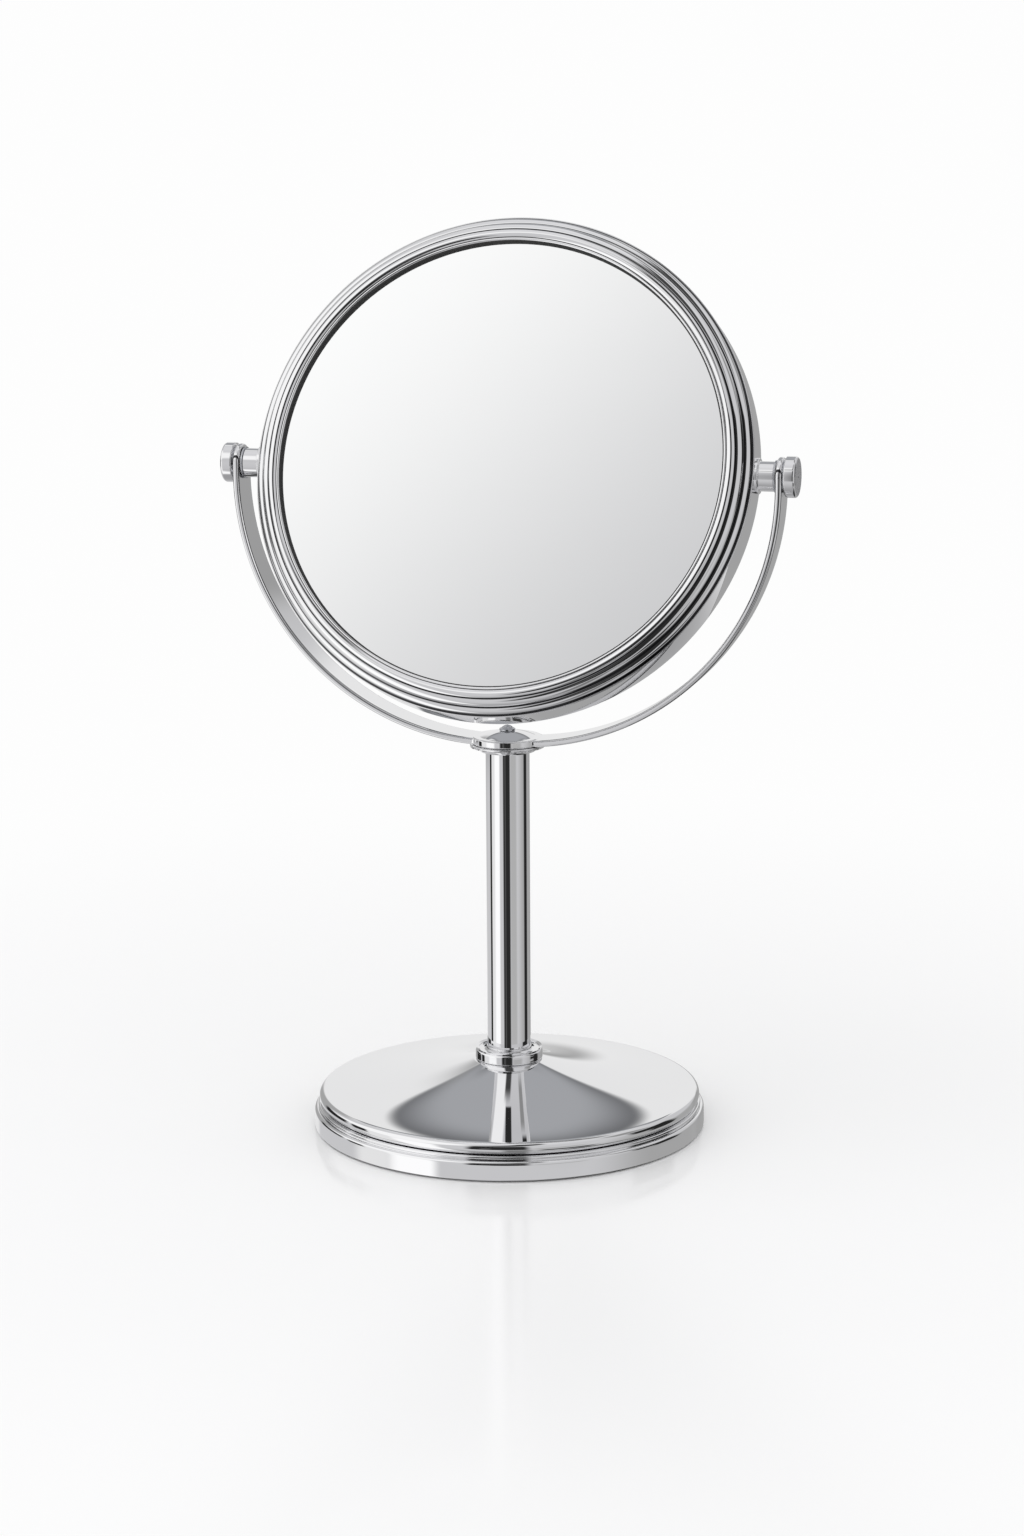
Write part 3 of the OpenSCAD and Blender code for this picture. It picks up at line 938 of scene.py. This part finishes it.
@dataclass
class Column:
    """The fixed tube with its foot and mouth bush, and the tube that slides in it."""

    lathe: Lathe
    wall: float = 0.8

    def __post_init__(self) -> None:
        """Reads the tubes' places from the frame."""
        self.outer = Extent.of("outer_tube")
        self.inner = Extent.of("inner_tube")
        self.foot = Extent.of("column_foot")
        self.bush = Extent.of("tube_guide_bush")

    def build(self) -> None:
        """Makes and hands over every piece of the column."""
        tube = rounded([
            Corner(self.outer.radius - self.wall, self.outer.low.z),
            Corner(self.outer.radius, self.outer.low.z, 0.2),
            Corner(self.outer.radius, self.outer.high.z, 0.25),
            Corner(self.outer.radius - self.wall, self.outer.high.z, 0.2)])
        fit = self.lathe.fit
        fit("fixed_tube", tube, CHROME, Body.BASE, "outer_tube", segments=192)
        flange = self.outer.radius + 0.3
        bore, plug = 3.05, self.outer.radius - self.wall
        foot = rounded([
            Corner(bore, self.foot.low.z), Corner(flange, self.foot.low.z, 0.3),
            Corner(flange, self.outer.low.z, 0.3), Corner(plug, self.outer.low.z),
            Corner(plug, self.foot.high.z), Corner(bore, self.foot.high.z)])
        fit("tube_foot_ring", foot, CHROME, Body.BASE, "column_foot", segments=160)
        bush = rounded([
            Corner(self.inner.radius + 0.06, self.bush.low.z), Corner(plug, self.bush.low.z, 0.2),
            Corner(plug, self.bush.high.z, 0.2), Corner(self.inner.radius + 0.06, self.bush.high.z, 0.3)])
        fit("mouth_bush", bush, NYLON, Body.BASE, "tube_guide_bush")
        slide = rounded([
            Corner(self.inner.radius - self.wall, self.inner.low.z),
            Corner(self.inner.radius, self.inner.low.z, 0.2),
            Corner(self.inner.radius, self.inner.high.z),
            Corner(self.inner.radius - self.wall, self.inner.high.z)])
        fit("sliding_tube", slide, CHROME, Body.STEM, "inner_tube", segments=160)
        for node, finish in (("guide_ring", NYLON), ("friction_spring", STEEL),
                             ("slider_end_plug", NYLON), ("retaining_clip", STEEL),
                             ("top_insert", BRASS)):
            dress(node, finish)


@dataclass
class Yoke:
    """The U-shaped strap with its pad, dish, domed washer and screw."""

    lathe: Lathe
    edge: float = 0.8
    width: float = 13.0
    thick: float = 2.2
    corner: float = 4.6
    leg: float = 3.4
    pad_r: float = 12.0
    pad_t: float = 2.6
    dome_r: float = 9.5

    def __post_init__(self) -> None:
        """Reads the strap's size from the frame."""
        strap = Extent.of("yoke")
        self.outer = strap.high.x
        self.inner = self.outer - self.thick
        self.low = strap.low.z
        self.pivot = Extent.of("left_knob").middle.z
        self.dish = Extent.of("saddle_dish")
        self.column = Extent.of("outer_tube")
        self.round = self.inner - self.corner
        self.quarter = math.pi * self.round / 2

    def edge_path(self) -> list[tuple[float, float, float, float]]:
        """The strap's edge when unrolled, from one tip to the other.

        Returns:
            For each point, distance along, distance across, and the edge's outward direction.
        """
        eye = self.width / 2
        reach = self.corner + self.quarter + self.leg
        tip, bend = 18, 110
        path = []
        for step in range(tip):
            angle = math.pi - math.pi / 2 * step / tip
            path.append((-reach + eye * math.cos(angle), eye * math.sin(angle),
                         math.cos(angle), math.sin(angle)))
        turns = [self.corner + self.quarter * step / bend for step in range(bend + 1)]
        for spot in [-reach] + [-s for s in turns[::-1]] + turns + [reach]:
            path.append((spot, eye, 0.0, 1.0))
        mirrored = [(-s, v, -ns, nv) for s, v, ns, nv in path[:tip]]
        return path + mirrored[::-1]

    def section(self) -> list[tuple[float, float]]:
        """Inset from the edge and depth through the strap, round one edge from face to face."""
        steps = 6
        points = []
        for quarter in (0, 1):
            for step in range(steps + 1):
                angle = math.pi / 2 * step / steps
                inset = self.edge * (1 - (math.sin(angle) if quarter == 0 else math.cos(angle)))
                side = math.cos(angle) if quarter == 0 else -math.sin(angle)
                middle = self.thick / 2 - self.edge
                points.append((inset, self.thick / 2 + (middle if quarter == 0 else -middle)
                               + self.edge * side))
        return points

    def bent(self, along: float, across: float, depth: float) -> tuple[float, float, float]:
        """Bends a point of the unrolled strap into place.

        Args:
            along: Distance from the strap's middle.
            across: Distance towards the back.
            depth: Height above the strap's inner face, outwards.

        Returns:
            The point in millimetres.
        """
        side = math.copysign(1.0, along)
        radius = self.round + depth
        past = abs(along) - self.corner
        turn = max(0.0, min(self.quarter, past)) / self.round
        out = min(abs(along), self.corner) + radius * math.sin(turn)
        rise = max(0.0, past - self.quarter)
        return (side * out, across, self.pivot - self.leg - radius * math.cos(turn) + rise)

    def strap(self) -> bpy.types.Object:
        """The strap as one closed mesh, with rounded edges and round eyes."""
        path, section = self.edge_path(), self.section()
        work = bmesh.new()
        rings = []
        for s, v, ns, nv in path:
            ring = []
            for sign, order in ((1, section), (-1, section[::-1])):
                for inset, depth in order:
                    spot = self.bent(s - inset * ns, sign * max(0.0, v - inset * nv), depth)
                    ring.append(work.verts.new([c * MM for c in spot]))
            rings.append(ring)
        for first, second in zip(rings, rings[1:]):
            for i in range(len(first)):
                j = (i + 1) % len(first)
                work.faces.new((first[i], first[j], second[j], second[i]))
        mesh = bpy.data.meshes.new("strap")
        work.to_mesh(mesh)
        work.free()
        return settle("bent_strap", mesh, EDGE_REFLECTION_CHROME, crease=40.0)

    def cylinder(self, name: str, radius: float, low: float, high: float,
                 place: Matrix) -> bpy.types.Object:
        """A plain cylinder to cut with."""
        outline = [(0.0, low), (radius, low), (radius, high), (0.0, high)]
        return self.lathe.turn(name, outline, CHROME, place, segments=64)

    def build(self) -> None:
        """Makes and hands over every piece of the yoke."""
        pad = self.lathe.turn("pad", rounded([
            Corner(0.0, self.low), Corner(self.pad_r, self.low, 0.6),
            Corner(self.pad_r, self.low + self.pad_t, 0.6), Corner(0.0, self.low + self.pad_t)]),
            EDGE_REFLECTION_CHROME, segments=128)
        yoke = carve(self.strap(), pad, "UNION", EDGE_REFLECTION_CHROME)
        across = Matrix.Translation((0, 0, self.pivot)) @ Matrix.Rotation(math.radians(90), 4, "Y")
        bore = self.cylinder("eye_bore", 4.0, -120.0, 120.0, across)
        yoke = carve(yoke, bore, "DIFFERENCE", EDGE_REFLECTION_CHROME)
        drill = self.cylinder("screw_bore", 2.1, self.low - 1, self.low + 5, Matrix.Identity(4))
        yoke = carve(yoke, drill, "DIFFERENCE", EDGE_REFLECTION_CHROME)
        hand_over(yoke, Body.STEM, EDGE_REFLECTION_CHROME, "yoke")

        top = self.low + self.pad_t
        height = 2.0
        ball = (self.dome_r**2 + height**2) / (2 * height)
        half = math.degrees(math.asin(self.dome_r / ball))
        dome = [(2.1, top)] + arc((0.0, top + height - ball), ball, 90 - half, 90 - 9.0, 24)
        dome = [p for p in dome if p[0] >= 2.1] + [(2.1, top + height - 0.2)]
        self.lathe.fit("domed_washer", dome, CHROME, Body.STEM, "clamp_dome", segments=128)

        rim, neck = self.dish.radius, self.column.radius + 0.1
        low = self.dish.high.z - 2.4
        curve = arc((rim + 0.5, self.low - 0.9 - 5.6), 5.6, 96, 155, 16)
        dish = [(2.1, self.low), (rim - 0.4, self.low)]
        dish += arc((rim - 0.4, self.low - 0.4), 0.4, 90, -60, 8)
        dish += [p for p in curve if p[1] > low and p[0] > neck] + [(neck, low + 0.05), (neck - 0.1, low)]
        dish += [(4.7, low), (4.7, self.dish.low.z), (2.1, self.dish.low.z)]
        self.lathe.fit("saddle", dish, CHROME, Body.STEM, "saddle_dish", segments=128)
        remade("yoke_screw", Body.STEM, STEEL)
        for side in Side:
            remade(side.word + "_outer_washer", Body.STEM, STEEL)
            remade(side.word + "_eye_bush", Body.STEM, NYLON)


@dataclass
class Head:
    """The double-sided drum: band, two beaded bezels, two glasses and what holds them."""

    lathe: Lathe
    lean: float = 20.5
    depth: float = 24.0
    band_depth: float = 12.8
    lip_step: float = 9.4
    sheet: float = 0.8
    recess: float = 2.6
    gasket: float = 0.4
    seal: float = 0.35
    seal_height: float = 1.7
    plain_t: float = 2.5
    curved_t: float = 2.2
    curve_r: float = 750.0
    band_gap: float = 8.75
    # half widths of the painted shade lines along the grooves
    groove_halves: tuple[float, ...] = (0.16, 0.28, 0.26, 0.36)

    def __post_init__(self) -> None:
        """Reads the drum's size and place from the frame."""
        self.rim = Extent.of("rim_band").high.x
        self.lip = self.rim - self.lip_step
        self.pivot = Extent.of("left_knob").middle.z
        self.glass_r = self.lip + 2.6
        self.glass_z = self.depth / 2 - self.recess

    def facing(self, back: bool = False) -> Matrix:
        """Where the head's axis lies in millimetres, with +Z the way its front or back faces."""
        turn = math.radians(90 - self.lean + (180 if back else 0))
        return Matrix.Translation((0, 0, self.pivot)) @ Matrix.Rotation(turn, 4, "X")

    def tiers(self, inset: float) -> list[Round]:
        """The bezel's round tiers, from the fine bead of the lip outwards; hollow ones leave that out.

        Args:
            inset: How far inside the outer face.

        Returns:
            Radius, height and size of each tier's round.
        """
        half = self.depth / 2
        rounds = [(0.55, 1.0, 0.55), (2.35, 1.75, 1.75), (4.0, 3.45, 2.5), (6.55, 5.6, 2.25)]
        rounds = rounds[1:] if inset else rounds
        return [(self.lip + out, half - down, size - inset) for out, down, size in rounds]

    def tier_path(self, inset: float, start: Point, steps: int) -> list[Point]:
        """Points over the tiers, from the lip outwards.

        Args:
            inset: How far inside the outer face.
            start: Where the path meets the first tier.
            steps: Straight steps over each tier.

        Returns:
            The points, ending beside the band.
        """
        tiers = self.tiers(inset)
        meets = [start] + [crossing(a, b) for a, b in zip(tiers, tiers[1:])]
        meets.append((tiers[-1][0] + tiers[-1][2], tiers[-1][1]))
        path: list[Point] = []
        for tier, first, last in zip(tiers, meets, meets[1:]):
            path += arc(tier[:2], tier[2], bearing(tier, first), bearing(tier, last), steps)
        return path

    def bezel_outline(self) -> list[Point]:
        """A bezel's closed outline: lip, three tiers, skirt and the hollow inside."""
        inner = self.tiers(self.sheet)[0]
        seat = self.glass_z + self.gasket
        half = self.band_depth / 2
        skirt = self.rim - 1.0
        hollow = inner[0] - inner[2]
        bead = self.tiers(0.0)[0]
        outside = self.tier_path(0.0, (self.lip, bead[1]), 16)
        inside = self.tier_path(self.sheet, (hollow, inner[1]), 8)
        return ([(self.lip, seat)] + outside + [(skirt, half), (skirt, half - 1.2),
                (skirt - self.sheet, half - 1.2)] + inside[::-1] + [(hollow, seat)])

    def plate(self) -> GrooveShadedPlate:
        """The drum's plating, with painted shade along each groove between its tiers: a dark line standing
        in for the groove's shade and dark reflection.
        """
        tiers = self.tiers(0.0)
        meets = [crossing(a, b)[0] for a, b in zip(tiers, tiers[1:])]
        grooves = tuple(zip(meets + [self.lip + self.band_gap], self.groove_halves))
        return GrooveShadedPlate("groove_shaded_plate", *PLATE, lean=self.lean, pivot_z=self.pivot,
                            grooves=grooves)

    def glass_outline(self, curved: bool) -> list[Point]:
        """A glass's closed outline, flat or dished, with its edge ground."""
        edge, thick = self.glass_r, self.curved_t if curved else self.plain_t
        steps = 28

        def face(radius: float) -> float:
            """Height of the face at a radius."""
            sag = radius**2 - edge**2
            return self.glass_z + (sag / (2 * self.curve_r) if curved else 0.0)

        radii = [(edge - 0.3) * step / steps for step in range(steps + 1)]
        front = [(r, face(r)) for r in radii]
        rear = [(r, face(r) - thick) for r in reversed(radii)]
        return front + [(edge, face(edge) - 0.3), (edge, face(edge) - thick + 0.3)] + rear

    def build(self) -> None:
        """Makes and hands over every piece of the head."""
        front, back, plate = self.facing(), self.facing(back=True), self.plate()
        half = self.band_depth / 2
        band = rounded([Corner(self.rim - 1, -half), Corner(self.rim, -half, 0.3),
                        Corner(self.rim, half, 0.3), Corner(self.rim - 1, half)])
        fit = self.lathe.fit
        fit("side_band", band, plate, Body.HEAD, "rim_band", front, 320)
        for word, place, curved, node in (("front", front, False, "plain_mirror"),
                                          ("rear", back, True, "magnifying_mirror")):
            fit(word + "_beaded_bezel", self.bezel_outline(), plate, Body.HEAD, word + "_bezel", place, 320)
            fit(word + "_glass", self.glass_outline(curved), GLASS, Body.HEAD, node, place, 256)
            strip = [(self.lip - self.seal, self.glass_z), (self.glass_r - 0.2, self.glass_z),
                     (self.glass_r - 0.2, self.glass_z + self.gasket),
                     (self.lip, self.glass_z + self.gasket), (self.lip, self.glass_z + self.seal_height)]
            strip += arc((self.lip - self.seal / 2, self.glass_z + self.seal_height - self.seal / 2),
                         self.seal / 2, 60, 180, 5)
            fit(word + "_seal", strip, RUBBER, Body.HEAD, word + "_gasket", place, 192)
        for node, finish in (("backing_board", BOARD), ("foam_spacer", FOAM)):
            dress(node, finish)
        for side in Side:
            self.side_pieces(side)

    def side_pieces(self, side: Side) -> None:
        """Makes one side's sleeve, and finishes its washer and boss.

        Args:
            side: The end of the pivot axis.
        """
        sleeve = Extent.of(side.word + "_spacer_sleeve")
        end = max(abs(sleeve.low.x), abs(sleeve.high.x))
        axis = Matrix.Translation((0, 0, self.pivot)) @ Matrix.Rotation(
            math.radians(90 * side.value), 4, "Y")
        outline = rounded([
            Corner(2.1, self.rim - 0.8), Corner(6.0, self.rim - 0.8), Corner(6.0, self.rim + 1.0, 0.35),
            Corner(4.95, self.rim + 1.0, 0.25), Corner(4.95, end, 0.3), Corner(2.1, end)])
        self.lathe.fit(side.word + "_footed_sleeve", outline, CHROME, Body.HEAD,
                       side.word + "_spacer_sleeve", axis)
        remade(side.word + "_inner_washer", Body.HEAD, STEEL)
        dress(side.word + "_pivot_boss", BRASS)


@dataclass
class Thumbscrews:
    """The two round knobs, each fixed on its pivot screw."""

    lathe: Lathe
    edge: float = 1.0
    dimple_r: float = 0.6

    def build(self) -> None:
        """Makes and hands over both knobs, and finishes their screws."""
        for side in Side:
            knob = Extent.of(side.word + "_knob")
            near = min(abs(knob.low.x), abs(knob.high.x))
            far = max(abs(knob.low.x), abs(knob.high.x))
            radius = (knob.high.z - knob.low.z) / 2
            finish = TurnedEnd("knob_plate", Slot.KNOB, (0.88, 0.88, 0.885), (0.85, 0.85, 0.86),
                               face_x=far, pivot_z=knob.middle.z)
            outline = rounded([
                Corner(0.0, far - 0.4), Corner(self.dimple_r, far), Corner(radius, far, self.edge),
                Corner(radius, near, 0.4), Corner(2.0, near), Corner(2.0, far - 1.8),
                Corner(0.0, far - 1.8)], steps=8)
            axis = Matrix.Translation((0, 0, knob.middle.z)) @ Matrix.Rotation(
                math.radians(90 * side.value), 4, "Y")
            self.lathe.fit(side.word + "_round_knob", outline, finish, side.thumbscrew,
                           side.word + "_knob", axis, 128)
            dress(side.word + "_pivot_screw", STEEL)


# ---------------------------------------------------------------- studio


@dataclass(frozen=True)
class Panel:
    """A soft-edged panel of the studio, in degrees of bearing from the front and of height.

    Slant leans its sides, and vee raises its lower edge to either side, in degrees per degree.
    """

    bearing: float
    half_width: float
    low: float
    high: float
    light: float
    soft_side: float = 6.0
    soft_end: float = 6.0
    tint: Colour = (1.0, 1.0, 1.0)
    slant: float = 0.0
    vee: float = 0.0


COOL_LIGHT: Colour = (0.97, 0.99, 1.04)


@dataclass
class Studio:
    """The white floor, the surrounding panels, the key light and the camera.

    Only reflections see the panels. Camera and diffuse rays see plain white instead.
    """

    surround: tuple[tuple[float, float], ...] = (
        (-90, 0.30), (-60, 0.40), (-30, 0.60), (0, 0.64), (30, 0.605), (60, 0.70), (80, 0.80), (90, 0.80))
    panels: tuple[Panel, ...] = (
        # the dimmer side of the room, low on the right
        Panel(128, 44, -90, 12, 0.40, 50, 16),
        # high left softbox, which the plain glass shows the edge of
        Panel(-59.9, 42, 8, 56, 1.03, 14, 14, slant=0.8),
        # white boards low on the left
        Panel(-45, 16, -60, 8, 1.10, 8, 10),
        Panel(-72, 14, -40, 8, 0.85, 12, 8),
        # white sweep behind, with a grey wall over it
        Panel(-164, 26, -20, 70, 0.86, 8, 10),
        Panel(-166, 24, 20, 41, 0.15, 2, 2.5, COOL_LIGHT, vee=0.75),
        Panel(-166, 18, 20, 62, 0.15, 2, 2.5, COOL_LIGHT, vee=0.75),
        Panel(-166, 22, 25, 41, 0.38, 8, 10, COOL_LIGHT, vee=0.6),
        Panel(-166, 17, 26, 62, 0.40, 8, 14, COOL_LIGHT, vee=0.6),
        # grey cloth behind, which the sides of the drum and yoke face
        Panel(165, 9, -17.5, 11, 0.36, 7, 5),
        Panel(177, 17, -42, 2, 0.38, 8, 8),
        Panel(-137, 14, -12, 34, 0.40, 9, 8),
        Panel(44, 16, -17.3, 5, 0.47, 12, 3),
        # the unlit side, where the camera stands
        Panel(8, 18, -17.3, 40, 0.025, 6, 1.4),
        Panel(1, 3, -17, 12, 0.08, 3, 1.4),
        Panel(24, 20, 44, 78, 0.06, 12, 8, slant=1.4),
        Panel(52, 18, -40, -22, 0.05, 10, 5),
        Panel(20, 9, -58, -22, 0.20, 8, 6),
        # black flags
        Panel(119, 12, -17.3, 0, 0.02, 8, 1.6),
        Panel(110, 18, -2, 26, 0.02, 8, 4),
        Panel(102, 16, 30, 50, 0.30, 8, 8),
        Panel(-85, 7, -17.3, 9, 0.02, 4, 1.6),
        Panel(-111, 14, -11, 12, 0.02, 6, 3),
        Panel(120, 60, -85, -44, 0.04, 14, 10),
        Panel(150, 40, 60, 78, 0.25, 16, 8),
    )
    eye: tuple[float, float, float] = (0.2971, -1.1030, 0.3648)
    pitch: float = 78.16
    yaw: float = 15.0
    roll: float = -0.3
    lens: float = 80.3

    def world(self) -> None:
        """Builds the surround: a ramp by height, with the panels laid over it in order."""
        world = bpy.data.worlds.new("studio")
        bpy.context.scene.world = world
        world.use_nodes = True
        world.node_tree.nodes.clear()
        pen = NodePen(world.node_tree)
        way = pen.add("ShaderNodeTexCoord").outputs["Generated"]
        parts = pen.parts(way)
        turn = pen.math("DEGREES", pen.math("ARCTAN2", parts["X"], pen.math("MULTIPLY", parts["Y"], -1.0)))
        height = pen.math("DEGREES", pen.math("ARCSINE", parts["Z"]))
        ramp = pen.add("ShaderNodeValToRGB", {"Fac": pen.ramp(height, -90, 90, 0.0, 1.0)})
        stops = ramp.color_ramp.elements
        for _ in self.surround[2:]:
            stops.new(0.5)
        for stop, (at, light) in zip(stops, self.surround):
            stop.position = (at + 90) / 180
            stop.color = (light, light, light * 1.02, 1.0)
        colour = ramp.outputs["Color"]
        for panel in self.panels:
            colour = self.lay(pen, panel, turn, height, colour)
        path = pen.add("ShaderNodeLightPath").outputs
        plain = pen.math("MAXIMUM", path["Is Camera Ray"], path["Is Diffuse Ray"])
        colour = pen.mix(plain, colour, PLAIN_WHITE)
        light = pen.add("ShaderNodeBackground", {"Color": colour, "Strength": 1.0})
        pen.add("ShaderNodeOutputWorld", {"Surface": light.outputs[0]})

    @staticmethod
    def lay(pen: NodePen, panel: Panel, turn: Socket, height: Socket, under: Socket) -> Socket:
        """Lays one panel over the surround.

        Args:
            pen: The world's pen.
            panel: The panel.
            turn: Bearing of the direction seen, in degrees.
            height: Its height, in degrees.
            under: The colour so far.

        Returns:
            The colour with the panel over it.
        """
        aim = pen.math("SUBTRACT", turn, panel.bearing)
        if panel.slant:
            rise = pen.math("SUBTRACT", height, (panel.low + panel.high) / 2)
            aim = pen.math("SUBTRACT", aim, pen.math("MULTIPLY", rise, panel.slant))
        shifted = pen.math("WRAP", aim, 180.0, -180.0)
        off = pen.math("ABSOLUTE", shifted)
        side = pen.ramp(off, panel.half_width - panel.soft_side / 2,
                        panel.half_width + panel.soft_side / 2, 1.0, 0.0, smooth=True)
        above = pen.math("SUBTRACT", height, pen.math("MULTIPLY", off, panel.vee)) if panel.vee else height
        foot = pen.ramp(above, panel.low - panel.soft_end / 2, panel.low + panel.soft_end / 2,
                        0.0, 1.0, smooth=True)
        top = pen.ramp(height, panel.high - panel.soft_end / 2, panel.high + panel.soft_end / 2,
                       1.0, 0.0, smooth=True)
        share = pen.math("MULTIPLY", pen.math("MULTIPLY", side, foot), top)
        return pen.mix(share, under, rgba(tuple(panel.light * c for c in panel.tint)))

    def floor(self) -> None:
        """Makes the pale floor: glossy near the object, and plain white further off."""
        work = bmesh.new()
        bmesh.ops.create_circle(work, cap_ends=True, radius=30.0, segments=96)
        mesh = bpy.data.meshes.new("floor")
        work.to_mesh(mesh)
        work.free()
        floor = link("floor", mesh)
        floor.visible_glossy = False
        material = bpy.data.materials.new("floor_white")
        material.use_nodes = True
        material.node_tree.nodes.clear()
        pen = NodePen(material.node_tree)
        place = pen.add("ShaderNodeTexCoord").outputs["Object"]
        away = pen.add("ShaderNodeVectorMath", {0: place}, operation="LENGTH").outputs["Value"]
        stone = pen.add("ShaderNodeBsdfPrincipled", {"Base Color": (0.965, 0.965, 0.97, 1.0),
                                                     "Roughness": 0.12, "Specular IOR Level": 0.3})
        plain = pen.add("ShaderNodeEmission", {"Color": PLAIN_WHITE, "Strength": 1.0})
        share = pen.ramp(away, 0.16, 0.55, 0.0, 1.0, smooth=True)
        both = pen.add("ShaderNodeMixShader", {0: share, 1: stone.outputs[0], 2: plain.outputs[0]})
        pen.add("ShaderNodeOutputMaterial", {"Surface": both.outputs[0]})
        mesh.materials.append(material)

    def key_light(self) -> None:
        """Adds one broad soft light from above and to the left, which the plate doesn't show."""
        lamp = bpy.data.lights.new("key", "AREA")
        lamp.shape = "DISK"
        lamp.size = 1.6
        lamp.energy = 2.5
        key = bpy.data.objects.new("key", lamp)
        key.location = (-0.7, -0.5, 1.7)
        key.rotation_euler = (Vector((0, 0, 0.1)) - key.location).to_track_quat("-Z", "Y").to_euler()
        key.visible_glossy = False
        bpy.context.scene.collection.objects.link(key)

    def camera(self) -> None:
        """Sets the camera."""
        lens = bpy.data.cameras.new("camera")
        lens.lens = self.lens
        lens.sensor_width = 36.0
        lens.clip_start = 0.01
        lens.clip_end = 100.0
        camera = bpy.data.objects.new("camera", lens)
        camera.location = self.eye
        aim = Euler((math.radians(self.pitch), 0.0, math.radians(self.yaw))).to_matrix()
        camera.rotation_euler = (aim @ Matrix.Rotation(math.radians(self.roll), 3, "Z")).to_euler()
        bpy.context.scene.collection.objects.link(camera)
        bpy.context.scene.camera = camera

    def build(self) -> None:
        """Builds the whole studio."""
        self.camera()
        self.world()
        self.floor()
        self.key_light()
        bpy.context.scene.view_settings.view_transform = "Standard"


def main() -> None:
    """Builds the studio and every sub-assembly."""
    logging.basicConfig(level=logging.INFO, format="%(name)s: %(message)s")
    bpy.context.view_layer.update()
    Studio().build()
    lathe = Lathe()
    for part in (Base(lathe, Fastener()), Column(lathe), Yoke(lathe), Head(lathe), Thumbscrews(lathe)):
        part.build()
        LOG.info("%s is built", type(part).__name__)


if __name__ == "__main__":
    main()
